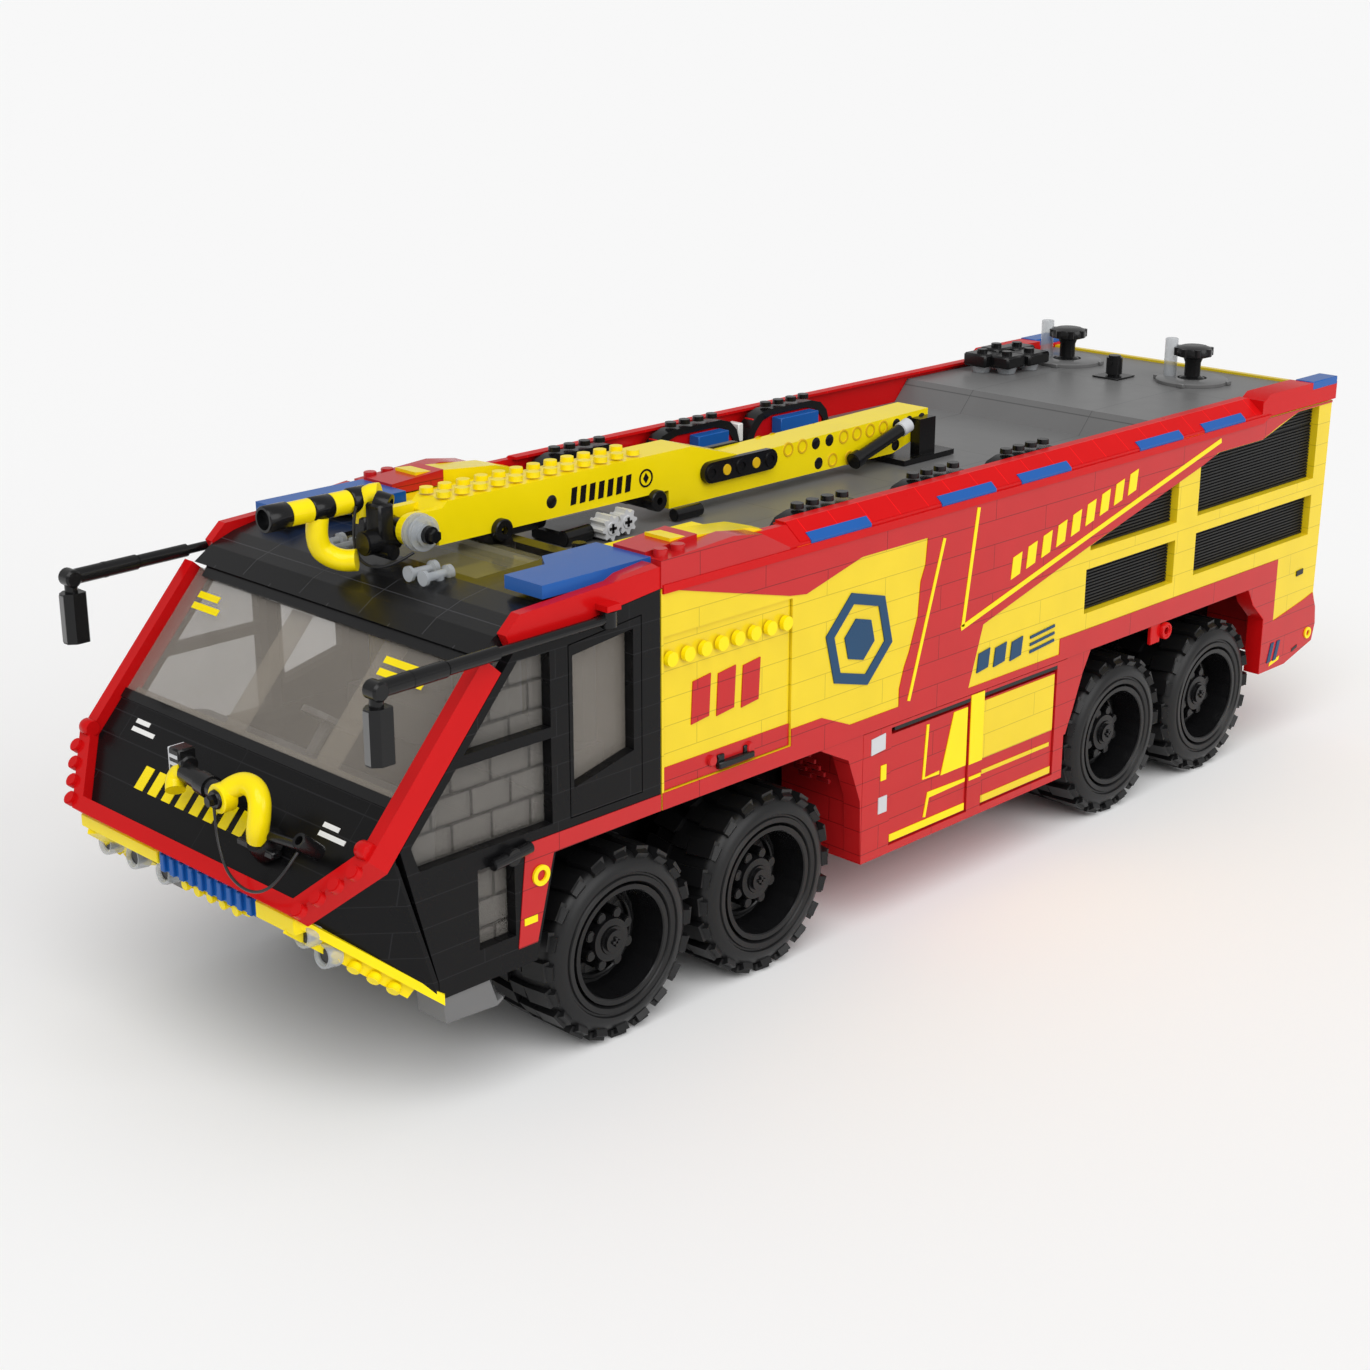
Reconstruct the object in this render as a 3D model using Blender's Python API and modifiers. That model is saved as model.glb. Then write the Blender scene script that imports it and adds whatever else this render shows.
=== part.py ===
"""Airport fire truck, a large model built of clamping bricks: eight wheels on four wheelsets,
a raked glass cab, side lockers, a roof boom and two water monitors.

Metres, +Z up. The truck faces -Y, its left side is +X, and the origin is on the ground
under the middle of its bounding box.
"""
import math

import bmesh
import bpy
from mathutils import Matrix, Vector

MM = 0.001
STUD = 8 * MM
GAP = 0.3 * MM            # between pieces that rest on each other
SEAM = 0.4 * MM           # round a door or a flap
ROUND = 20                # sides of a turned piece
SIDES = (("left", 1), ("right", -1))

# Whole truck
LENGTH = 566.7 * MM
WIDTH = 160 * MM
HALF = WIDTH / 2
FRONT = -LENGTH / 2
REAR = LENGTH / 2
WALL = 4 * MM

# Wheels
TYRE_D = 68.8 * MM
TYRE_WIDTH = 34 * MM
TYRE_INSET = 2 * MM          # tyre wall behind the body side
TYRE_BORE_R = 21.7 * MM
SIDEWALL_R = 27.7 * MM
AXLE_R = 4 * MM
HUB_R = 8 * MM
AXLE_SETBACK = 121.5 * MM   # bumper to first axle
AXLE_PITCH = 9 * STUD       # between the two axles of a pair
PAIR_SPAN = 27 * STUD       # second axle to third axle
AXLE_Z = TYRE_D / 2
ARCH_GAP = 10.2 * MM        # tyre to the body above it
ARCH_Z = TYRE_D + ARCH_GAP
AXLE_1 = FRONT + AXLE_SETBACK
AXLES = (AXLE_1, AXLE_1 + AXLE_PITCH, AXLE_1 + AXLE_PITCH + PAIR_SPAN,
         AXLE_1 + 2 * AXLE_PITCH + PAIR_SPAN)

# Chassis
CHASSIS_HALF = 36 * MM
CHASSIS_LOW = 44 * MM
CHASSIS_HIGH = 56 * MM
BEARING_LOW = 26 * MM
BEARING_HALF = 10 * MM

# Cab
RAKE = math.radians(48.2)   # slope of the front, from the ground
BUMPER_Z = 83 * MM          # top of the bumper bar
BUMPER_LIP = 4 * MM         # how far the bar reaches below that
FRAME_PROUD = 1 * MM        # red frame in front of the glass and the fascia
CAB_REAR = AXLE_1 + 2 * STUD
CAB_LOW = 43.5 * MM
NOSE_LIP = 6 * MM           # height of the nose's upright rear edge
NOSE_REAR = FRONT + 40.5 * MM
FLOOR_T = 5 * MM
CAB_FLOOR_Z = ARCH_Z + FLOOR_T
WAIST_Z = 88 * MM           # top of the red band
CAB_TOP_FRONT = 149 * MM
CAB_TOP_REAR = 156 * MM
GLASS_LOW = 111.5 * MM      # lower edge of the windscreen
FRAME_DEPTH = 8 * MM
FRAME_WIDTH = 5 * MM
FACE_RECESS = 2.7 * MM      # glass and fascia behind the frame's plane
SCREEN_T = 2.4 * MM
GLASS_T = 1.7 * MM
FRONT_PLANE_Y = FRONT + BUMPER_LIP / math.tan(RAKE) + FRAME_PROUD * math.sin(RAKE)
CHAMFER_HALF = 61 * MM      # half width of the bumper bar's straight part
CHAMFER_Z = 97 * MM         # where the chamfers meet the pillars
B_PILLAR = 8 * MM
DOOR_FRONT = CAB_REAR - 40.5 * MM
DOOR_REAR = CAB_REAR - 9 * MM
DOOR_TOP_FRONT = 146 * MM
DOOR_TOP_REAR = 149 * MM
DOOR_FRAME = 3.5 * MM
DOOR_SILL = 10 * MM
WINDOW_BAR_Z = 119.3 * MM
WINDOW_BAR = 3.6 * MM
DOOR_LEDGE = 1.5 * MM       # door frame at its front edge
MIRROR_Y = CAB_REAR - 26 * MM
MIRROR_PIVOT_R = 2.7 * MM
MIRROR_LUG_Z = 155.4 * MM

# Body behind the cab
BODY_TOP = 156 * MM
DECK_Z = 152 * MM
DECK_T = 4 * MM
REAR_DECK_Z = 161.5 * MM
REAR_DECK_FRONT = AXLES[3] - 36 * MM
EDGE_TOP = 163.5 * MM
EDGE_WIDTH = 10 * MM
REAR_RAIL_FRONT = REAR - 62.5 * MM
LOCKER_LOW = 85.2 * MM
LOCKER_TOP = 139.4 * MM
LOCKER_REAR = CAB_REAR + 64 * MM
TAIL_FRONT = AXLES[3] + 37.9 * MM
TAIL_LOW = 36 * MM
TAIL_HIGH = 66 * MM
BODY_REAR = REAR - 3 * MM
GRILLE_LOW = 95.4 * MM
GRILLE_MID = 114 * MM
GRILLE_UPPER = 121.6 * MM
FLAP_T = 4 * MM
GRILLE_T = 2 * MM
FLAP_RECESS = 1 * MM
SKIRT_FLAP_RECESS = 0.8 * MM

# Skirt between the wheel pairs
SKIRT_LOW = 27.4 * MM
SKIRT_FRONT = AXLES[1] + 48 * MM
SKIRT_REAR = AXLES[2] - 41.5 * MM
SKIRT_INNER = 40 * MM
SKIRT_RIM = 3 * MM
FINGER_GAP = 3 * MM
SKIRT_POST_FRONT = 16 * MM
SKIRT_MID_POST = SKIRT_FRONT + 63.4 * MM
SKIRT_MID_WIDTH = 8.6 * MM
SKIRT_POST_REAR = 6.6 * MM

# Boom and monitors
BOOM_HALF = 8 * MM
BOOM_TIP = FRONT + 105 * MM
BOOM_PIVOT = (AXLES[2] - 52.5 * MM, 165 * MM)
BOOM_END = BOOM_PIVOT[0] + 6 * MM
BOOM_LOW = 155 * MM
BOOM_FRONT_LOW = 163 * MM
BOOM_FRONT_TOP = 177.5 * MM
BOOM_REAR_TOP = 171.5 * MM
BOOM_STEP = BOOM_PIVOT[0] - 144 * MM
PIN_R = 2.4 * MM
TIP_PIVOT = (BOOM_TIP - 10 * MM, 170 * MM)
TIP_PIN_R = 3 * MM
EAR_R = 5.4 * MM            # fork on the boom's tip, round its pin
EAR_INNER = 4.6 * MM
BARREL_R = 4 * MM
BARREL_Z = 179 * MM
BARREL_FRONT = BOOM_TIP - 57 * MM
MONITOR_X = 34 * MM
MONITOR_Z = 92 * MM
HOSE_D = 1 * MM

COLOURS = {
    "red": ((0.62, 0.012, 0.016, 1), 0.3),
    "yellow": ((0.93, 0.72, 0.02, 1), 0.3),
    "black": ((0.012, 0.012, 0.013, 1), 0.35),
    "grey": ((0.13, 0.13, 0.13, 1), 0.4),
    "blue": ((0.02, 0.1, 0.45, 1), 0.2),
    "smoked": ((0.12, 0.115, 0.1, 0.6), 0.1),
    "clear": ((0.75, 0.78, 0.8, 0.5), 0.1),
    "tyre": ((0.02, 0.02, 0.02, 1), 0.7),
}


# ---------------------------------------------------------------- helpers

def clear_scene():
    for obj in list(bpy.data.objects):
        bpy.data.objects.remove(obj, do_unlink=True)


def make_collection(name):
    found = bpy.data.collections.new(name)
    bpy.context.scene.collection.children.link(found)
    return found


def make_materials():
    made = {}
    for name, (colour, roughness) in COLOURS.items():
        material = bpy.data.materials.new(name)
        material.use_nodes = True
        shader = material.node_tree.nodes["Principled BSDF"]
        shader.inputs["Base Color"].default_value = colour
        shader.inputs["Roughness"].default_value = roughness
        shader.inputs["Alpha"].default_value = colour[3]
        made[name] = material
    return made


def object_from(name, bm, colour):
    bmesh.ops.recalc_face_normals(bm, faces=bm.faces)
    if bm.calc_volume(signed=True) < 0:
        bmesh.ops.reverse_faces(bm, faces=bm.faces)
    mesh = bpy.data.meshes.new(name)
    bm.to_mesh(mesh)
    bm.free()
    mesh.materials.append(MATERIALS[colour])
    obj = bpy.data.objects.new(name, mesh)
    TRUCK.objects.link(obj)
    return obj


def box(name, low, high, colour="black"):
    bm = bmesh.new()
    size = Vector(high) - Vector(low)
    middle = (Vector(high) + Vector(low)) / 2
    bmesh.ops.create_cube(bm, size=1, matrix=Matrix.Translation(middle) @ Matrix.Diagonal((*size, 1)))
    return object_from(name, bm, colour)


def rod(name, start, end, radius, colour="black", sides=ROUND):
    """A round bar between two points."""
    start, end = Vector(start), Vector(end)
    turn = (end - start).to_track_quat("Z", "Y").to_matrix().to_4x4()
    bm = bmesh.new()
    bmesh.ops.create_cone(bm, cap_ends=True, segments=sides, radius1=radius, radius2=radius,
                          depth=(end - start).length,
                          matrix=Matrix.Translation((start + end) / 2) @ turn)
    return object_from(name, bm, colour)


def flat_solid(name, loops, thickness, frame, colour):
    """A flat outline with its holes, as thick as given, centred on the frame's plane."""
    curve = bpy.data.curves.new(name + "_outline", "CURVE")
    curve.dimensions = "2D"
    curve.fill_mode = "BOTH"
    curve.extrude = thickness / 2
    for loop in loops:
        spline = curve.splines.new("POLY")
        spline.points.add(len(loop) - 1)
        for point, (u, v) in zip(spline.points, loop):
            point.co = (u, v, 0, 1)
        spline.use_cyclic_u = True
    outline = bpy.data.objects.new(name + "_outline", curve)
    TRUCK.objects.link(outline)
    bpy.context.view_layer.update()
    graph = bpy.context.evaluated_depsgraph_get()
    mesh = bpy.data.meshes.new_from_object(outline.evaluated_get(graph))
    bm = bmesh.new()
    bm.from_mesh(mesh)
    bmesh.ops.remove_doubles(bm, verts=bm.verts, dist=0.01 * MM)
    bm.transform(frame)
    bpy.data.objects.remove(outline)
    bpy.data.meshes.remove(mesh)
    return object_from(name, bm, colour)


def across(name, outline, x_low, x_high, colour, holes=()):
    """A side-view outline of (y, z) points, solid from one x to the other."""
    frame = Matrix(((0, 0, 1, (x_low + x_high) / 2), (1, 0, 0, 0), (0, 1, 0, 0), (0, 0, 0, 1)))
    return flat_solid(name, (outline, *holes), abs(x_high - x_low), frame, colour)


def lengthwise(name, outline, y_low, y_high, colour):
    """A front-view outline of (x, z) points, solid from one y to the other."""
    frame = Matrix(((1, 0, 0, 0), (0, 0, -1, (y_low + y_high) / 2), (0, 1, 0, 0), (0, 0, 0, 1)))
    return flat_solid(name, (outline,), y_high - y_low, frame, colour)


def on_front(name, loops, thickness, depth, colour):
    """An outline of (x, z) points on the raked front plane, its outer face at the given depth."""
    slope = 1 / math.sin(RAKE)
    flat = [[(x, (z - BUMPER_Z) * slope) for x, z in loop] for loop in loops]
    inward = depth + thickness / 2
    frame = (Matrix.Translation((0, FRONT_PLANE_Y, BUMPER_Z)) @ Matrix.Rotation(RAKE, 4, "X")
             @ Matrix.Translation((0, 0, -inward)))
    return flat_solid(name, flat, thickness, frame, colour)


def front_y(z, depth=0.0):
    """How far forward the raked front plane is at this height, at a depth behind its face."""
    return FRONT_PLANE_Y + (z - BUMPER_Z) / math.tan(RAKE) + depth / math.sin(RAKE)


def turned(name, profile, centre, colour, direction="X", sides=ROUND):
    """A profile of (radius, height) points, turned about an axis through the centre."""
    bm = bmesh.new()
    points = [bm.verts.new((radius, 0, height)) for radius, height in profile]
    for one, two in zip(points, points[1:]):
        bm.edges.new((one, two))
    if profile[0][0] > 0:
        bm.edges.new((points[-1], points[0]))
    mesh = bpy.data.meshes.new(name)
    bm.to_mesh(mesh)
    bm.free()
    mesh.materials.append(MATERIALS[colour])
    obj = bpy.data.objects.new(name, mesh)
    TRUCK.objects.link(obj)
    screw = obj.modifiers.new("turn", "SCREW")
    screw.steps = screw.render_steps = sides
    screw.use_merge_vertices = True
    screw.merge_threshold = 0.01 * MM
    if direction == "X":
        obj.rotation_euler = (0, math.pi / 2, 0)
    obj.location = centre
    return obj


def hull(name, corners, colour):
    """The convex solid round a few corner points."""
    bm = bmesh.new()
    for corner in corners:
        bm.verts.new(corner)
    made = bmesh.ops.convex_hull(bm, input=bm.verts)
    bmesh.ops.delete(bm, geom=[v for v in made["geom_interior"] if isinstance(v, bmesh.types.BMVert)],
                     context="VERTS")
    return object_from(name, bm, colour)


def tube(name, points, radius, colour, resolution=2):
    """A round tube with closed ends along the points, as a mesh."""
    curve = bpy.data.curves.new(name, "CURVE")
    curve.dimensions = "3D"
    curve.bevel_depth = radius
    curve.bevel_resolution = resolution
    curve.use_fill_caps = True
    spline = curve.splines.new("POLY")
    spline.points.add(len(points) - 1)
    for point, place in zip(spline.points, points):
        point.co = (*place, 1)
    obj = bpy.data.objects.new(name + "_path", curve)
    TRUCK.objects.link(obj)
    bpy.context.view_layer.update()
    mesh = bpy.data.meshes.new_from_object(obj.evaluated_get(bpy.context.evaluated_depsgraph_get()))
    bm = bmesh.new()
    bm.from_mesh(mesh)
    bmesh.ops.remove_doubles(bm, verts=bm.verts, dist=0.001 * MM)
    bpy.data.objects.remove(obj)
    bpy.data.meshes.remove(mesh)
    return object_from(name, bm, colour)


def smooth_route(points, steps):
    """Points along a smooth curve through the given points."""
    route = []
    ends = [points[0], *points, points[-1]]
    for a, b, c, d in zip(ends, ends[1:], ends[2:], ends[3:]):
        a, b, c, d = Vector(a), Vector(b), Vector(c), Vector(d)
        for i in range(steps):
            t = i / steps
            route.append(0.5 * (2 * b + (c - a) * t + (2 * a - 5 * b + 4 * c - d) * t ** 2
                                + (3 * b - a - 3 * c + d) * t ** 3))
    route.append(Vector(points[-1]))
    return route


def boolean(obj, tool, operation):
    modifier = obj.modifiers.new(tool.name, "BOOLEAN")
    modifier.object = tool
    modifier.operation = operation
    modifier.solver = "EXACT"
    tool.hide_render = True
    tool.display_type = "WIRE"
    TRUCK.objects.unlink(tool)
    CUTTERS.objects.link(tool)


def join(obj, *others):
    for other in others:
        boolean(obj, other, "UNION")
    return obj


def cut(obj, *cutters):
    for cutter in cutters:
        boolean(obj, cutter, "DIFFERENCE")
    return obj


def hang(obj, pivot):
    """Moves the object's origin to its joint."""
    pivot = Vector(pivot)
    obj.data.transform(Matrix.Translation(-pivot))
    obj.location = pivot
    return obj


def empty(name, place):
    obj = bpy.data.objects.new(name, None)
    obj.location = place
    TRUCK.objects.link(obj)
    return obj


# ---------------------------------------------------------------- running gear

def make_chassis():
    """Frame slab, its body floor above and a bearing block under it at each axle."""
    front = AXLES[0] - TYRE_D / 2 + 3 * MM
    rear = REAR - 22 * MM
    frame = box("chassis_frame", (-CHASSIS_HALF, front, CHASSIS_LOW), (CHASSIS_HALF, rear, ARCH_Z - GAP),
                "black")
    spine = box("floor_spine", (-CHASSIS_HALF, CAB_REAR + GAP, CHASSIS_HIGH), (CHASSIS_HALF, rear, CAB_FLOOR_Z))
    floor = box("floor_plate", (-HALF + WALL + GAP, CAB_REAR + GAP, ARCH_Z),
                (HALF - WALL - GAP, BODY_REAR - WALL - GAP, CAB_FLOOR_Z))
    join(frame, spine, floor)
    for number, y in enumerate(AXLES, 1):
        join(frame, box(f"bearing_{number}", (-CHASSIS_HALF, y - BEARING_HALF, BEARING_LOW),
                        (CHASSIS_HALF, y + BEARING_HALF, CHASSIS_LOW + 1 * MM)))
    for number, y in enumerate(AXLES, 1):
        cut(frame, rod(f"axle_hole_{number}", (-HALF, y, AXLE_Z), (HALF, y, AXLE_Z), AXLE_R + GAP))


def make_wheelset(number, y):
    """An axle with both its wheel rims on it, and a tyre on each rim."""
    face = HALF - TYRE_INSET
    outer = face - 1 * MM
    inner = face - TYRE_WIDTH + 1 * MM
    rim_r = TYRE_BORE_R - GAP
    half = [(0, outer - 3 * MM), (AXLE_R, outer - 3 * MM), (AXLE_R, outer - 6 * MM),
            (HUB_R, outer - 6 * MM), (HUB_R, outer - 15 * MM), (rim_r - 3.4 * MM, outer - 13 * MM),
            (rim_r - 2 * MM, outer), (rim_r, outer), (rim_r, inner), (rim_r - 3 * MM, inner),
            (rim_r - 3.4 * MM, outer - 19 * MM), (HUB_R, outer - 19 * MM), (HUB_R, outer - 25 * MM),
            (AXLE_R, outer - 25 * MM)]
    profile = half + [(radius, -height) for radius, height in reversed(half)]
    turned(f"wheelset_{number}", profile, (0, y, AXLE_Z), "black")
    tread_r = TYRE_D / 2
    w = TYRE_WIDTH / 2
    section = [(TYRE_BORE_R, w), (SIDEWALL_R, w), (tread_r - 2.5 * MM, w - 2 * MM), (tread_r, w - 5 * MM),
               (tread_r, 5 * MM - w), (tread_r - 2.5 * MM, 2 * MM - w), (SIDEWALL_R, -w), (TYRE_BORE_R, -w)]
    for side, sign in SIDES:
        turned(f"tyre_{number}_{side}", section, (sign * (face - w), y, AXLE_Z), "tyre")


# ---------------------------------------------------------------- cab

def make_cab_shell():
    inside = HALF - WALL - GLASS_T - 2 * GAP
    step_y = AXLES[0] - TYRE_D / 2 - 5 * MM
    floor = [(NOSE_REAR + GAP, CAB_LOW), (step_y, CAB_LOW), (step_y + 6 * MM, ARCH_Z),
             (CAB_REAR - GAP, ARCH_Z), (CAB_REAR - GAP, CAB_FLOOR_Z), (step_y + 1 * MM, CAB_FLOOR_Z),
             (step_y - 4 * MM, CAB_LOW + FLOOR_T), (NOSE_REAR + GAP, CAB_LOW + FLOOR_T)]
    across("cab_floor", floor, -inside, inside, "black")
    edge = FRAME_DEPTH + GAP
    side_outline = [(NOSE_REAR + GAP, CAB_LOW), (step_y - 1 * MM, CAB_LOW), (step_y + 8 * MM, ARCH_Z),
                    (CAB_REAR - GAP, ARCH_Z), (CAB_REAR - GAP, CAB_TOP_REAR),
                    (front_y(CAB_TOP_FRONT, edge), CAB_TOP_FRONT), (front_y(CHAMFER_Z, edge), CHAMFER_Z),
                    (NOSE_REAR + GAP, CAB_LOW + NOSE_LIP)]
    window_rear = DOOR_FRONT - B_PILLAR
    bar_low, bar_high = WINDOW_BAR_Z - WINDOW_BAR / 2, WINDOW_BAR_Z + WINDOW_BAR / 2
    window_top = CAB_TOP_FRONT - 3 * MM
    low_z = WAIST_Z + 0.5 * MM
    margin = edge + 3 * MM
    upper = [(front_y(bar_high, margin), bar_high), (window_rear, bar_high), (window_rear, window_top),
             (front_y(window_top, margin), window_top)]
    lower = [(front_y(CHAMFER_Z, margin), CHAMFER_Z), (front_y(CHAMFER_Z, margin) + 3 * MM, low_z),
             (window_rear, low_z), (window_rear, bar_low), (front_y(bar_low, margin), bar_low)]
    foot = [(NOSE_REAR + 17 * MM, 55 * MM), (NOSE_REAR + 32 * MM, 55 * MM),
            (NOSE_REAR + 32 * MM, 82 * MM), (NOSE_REAR + 17 * MM, 82 * MM)]
    opening = [(DOOR_FRONT - SEAM, WAIST_Z), (DOOR_REAR + SEAM, WAIST_Z),
               (DOOR_REAR + SEAM, DOOR_TOP_REAR + SEAM), (DOOR_FRONT - SEAM, DOOR_TOP_FRONT + SEAM)]
    pane_y = window_rear + 2 * MM
    pane = [(front_y(CHAMFER_Z, edge) + 4 * MM, CHAMFER_Z - 9 * MM), (foot[0][0] - 2 * MM, CHAMFER_Z - 9 * MM),
            (foot[0][0] - 2 * MM, foot[0][1] - 2 * MM), (foot[1][0] + 2 * MM, foot[0][1] - 2 * MM),
            (foot[1][0] + 2 * MM, CHAMFER_Z - 9 * MM), (pane_y, CHAMFER_Z - 9 * MM),
            (pane_y, window_top + 1.5 * MM), (front_y(window_top + 1.5 * MM, edge), window_top + 1.5 * MM),
            (front_y(CHAMFER_Z, edge), CHAMFER_Z)]
    door = [(DOOR_FRONT, WAIST_Z + SEAM), (DOOR_REAR, WAIST_Z + SEAM), (DOOR_REAR, DOOR_TOP_REAR),
            (DOOR_FRONT, DOOR_TOP_FRONT)]
    window = [(DOOR_FRONT + DOOR_LEDGE, WAIST_Z + DOOR_SILL),
              (DOOR_REAR - DOOR_FRAME, WAIST_Z + DOOR_SILL + 6 * MM),
              (DOOR_REAR - DOOR_FRAME, DOOR_TOP_REAR - DOOR_FRAME),
              (DOOR_FRONT + DOOR_LEDGE, DOOR_TOP_FRONT - DOOR_FRAME)]
    lap = 1.2 * MM
    door_pane = [(window[0][0] - lap, window[0][1] - lap), (window[1][0] + lap, window[1][1] - lap),
                 (window[2][0] + lap, window[2][1] + lap), (window[3][0] - lap, window[3][1] + lap)]
    for side, sign in SIDES:
        outer, inner = sign * HALF, sign * (HALF - WALL)
        glass_out, glass_in = sign * (HALF - WALL - GAP), sign * (HALF - WALL - GAP - GLASS_T)
        across(f"cab_side_{side}", side_outline, inner, outer, "black", (upper, lower, foot, opening))
        across(f"side_window_{side}", pane, glass_in, glass_out, "smoked")
        hinge = empty(f"door_hinge_{side}", (sign * HALF, DOOR_FRONT, WAIST_Z))
        for obj in (across(f"cab_door_{side}", door, inner, outer, "black", (window,)),
                    across(f"door_window_{side}", door_pane, glass_in, glass_out, "smoked")):
            hinge_to(obj, hinge)


def hinge_to(obj, pivot_empty):
    """Puts a piece's origin at the empty that it turns about."""
    pivot = Vector(pivot_empty.location)
    obj.data.transform(Matrix.Translation(-pivot))
    obj.location = (0, 0, 0)
    obj.parent = pivot_empty
    obj.matrix_parent_inverse = Matrix.Identity(4)


def front_loop(half_top, z_top, inset=0.0):
    """The outline of the front face, inset evenly: chamfered at its lower corners."""
    low = BUMPER_Z - BUMPER_LIP + inset * math.sin(RAKE)
    return [(-CHAMFER_HALF + inset * 0.4, low), (CHAMFER_HALF - inset * 0.4, low),
            (half_top - inset, CHAMFER_Z + inset * 0.3), (half_top - inset, z_top),
            (-half_top + inset, z_top), (-half_top + inset, CHAMFER_Z + inset * 0.3)]


def make_front():
    """Red frame round the raked front, black fascia, windscreen and nose."""
    outer = front_loop(HALF, CAB_TOP_FRONT)
    inner = front_loop(HALF, CAB_TOP_FRONT, FRAME_WIDTH)
    u_shape = [*outer[:4], inner[3], inner[2], inner[1], inner[0], inner[5], inner[4], *outer[4:]]
    on_front("front_frame", (u_shape,), FRAME_DEPTH + FRAME_PROUD, -FRAME_PROUD, "red")
    fascia = front_loop(HALF, GLASS_LOW - GAP, FRAME_WIDTH + GAP)
    on_front("fascia", (fascia,), FRAME_DEPTH - FACE_RECESS, FACE_RECESS, "black")
    screen_half = HALF - FRAME_WIDTH - GAP
    screen = [(-screen_half, GLASS_LOW), (screen_half, GLASS_LOW), (screen_half, CAB_TOP_FRONT),
              (-screen_half, CAB_TOP_FRONT)]
    on_front("windscreen", (screen,), SCREEN_T, FACE_RECESS, "smoked")
    behind = FRAME_DEPTH + GAP
    corners = []
    for sign in (1, -1):
        corners += [(sign * (CHAMFER_HALF - 1 * MM), front_y(75 * MM, behind), 75 * MM),
                    (sign * (CHAMFER_HALF - 2 * MM), front_y(75 * MM, behind) + 3 * MM, 69 * MM),
                    (sign * HALF, front_y(94 * MM, behind), 94 * MM),
                    (sign * HALF, front_y(94 * MM, behind) + 1.5 * MM, 93 * MM),
                    (sign * HALF, NOSE_REAR, CAB_LOW + NOSE_LIP),
                    (sign * HALF, NOSE_REAR, CAB_LOW)]
    hull("nose", corners, "black")


def make_headlights():
    """A clear bar under the bumper with round lamps along it."""
    y, z, r = front_y(75 * MM, FRAME_DEPTH + GAP) - 1 * MM, 62 * MM, 4.4 * MM
    bar = box("headlights", (-56 * MM, y, z + 3 * MM), (56 * MM, y + 4 * MM, 69 * MM - GAP), "clear")
    for x in (-52, -42, -14, -4, 4, 14, 42, 52):
        join(bar, rod(f"lamp_{x}", (x * MM, y - 4 * MM, z), (x * MM, y + 4 * MM, z), r, "clear", 12))


def make_cab_roof():
    half = HALF - WALL - GAP
    top = front_y(CAB_TOP_FRONT + GAP)
    outline = [(top, CAB_TOP_FRONT + GAP), (top + 7 * MM, 154 * MM), (top + 17 * MM, 157.5 * MM),
               (top + 28 * MM, 159.5 * MM), (CAB_REAR - GAP, 161 * MM), (CAB_REAR - GAP, 157 * MM),
               (top + 30 * MM, 155.5 * MM), (top + 14 * MM, CAB_TOP_FRONT + GAP)]
    roof = across("cab_roof", outline, -half, half, "black")
    y_low, y_high, x_half = CAB_REAR - 42 * MM, CAB_REAR - 6 * MM, 38 * MM
    cut(roof, box("roof_window_hole", (-x_half, y_low, 140 * MM), (x_half, y_high, 180 * MM)))
    box("roof_window", (-x_half + GAP, y_low + GAP, 156.4 * MM), (x_half - GAP, y_high - GAP, 158.4 * MM),
        "smoked")


def make_cab_inside():
    seats = box("cab_seats", (-56 * MM, CAB_REAR - 26 * MM, CAB_FLOOR_Z + GAP),
                (56 * MM, CAB_REAR - 4 * MM, CAB_FLOOR_Z + 14 * MM), "grey")
    for number, x in enumerate((-38, 0, 38), 1):
        join(seats, box(f"seat_back_{number}", ((x - 14) * MM, CAB_REAR - 9 * MM, CAB_FLOOR_Z + 10 * MM),
                        ((x + 14) * MM, CAB_REAR - 3 * MM, CAB_FLOOR_Z + 48 * MM)))
    dash = across("dashboard", [(NOSE_REAR + 1 * MM, CAB_LOW + FLOOR_T + GAP),
                                (NOSE_REAR + 12 * MM, CAB_LOW + FLOOR_T + GAP),
                                (NOSE_REAR + 16 * MM, 100 * MM), (NOSE_REAR + 2 * MM, 104 * MM),
                                (NOSE_REAR - 8 * MM, 96 * MM)],
                  -62 * MM, 62 * MM, "grey")
    centre = Vector((0, NOSE_REAR + 22 * MM, 110 * MM))
    lean = Vector((0, 0.6, 0.8))
    join(dash, rod("steering_column", (0, NOSE_REAR + 10 * MM, 96 * MM), centre, 2 * MM, "grey", 10),
         rod("steering_wheel", centre - lean * 1 * MM, centre + lean * 1 * MM, 10 * MM, "grey", 16))


# ---------------------------------------------------------------- body

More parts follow.
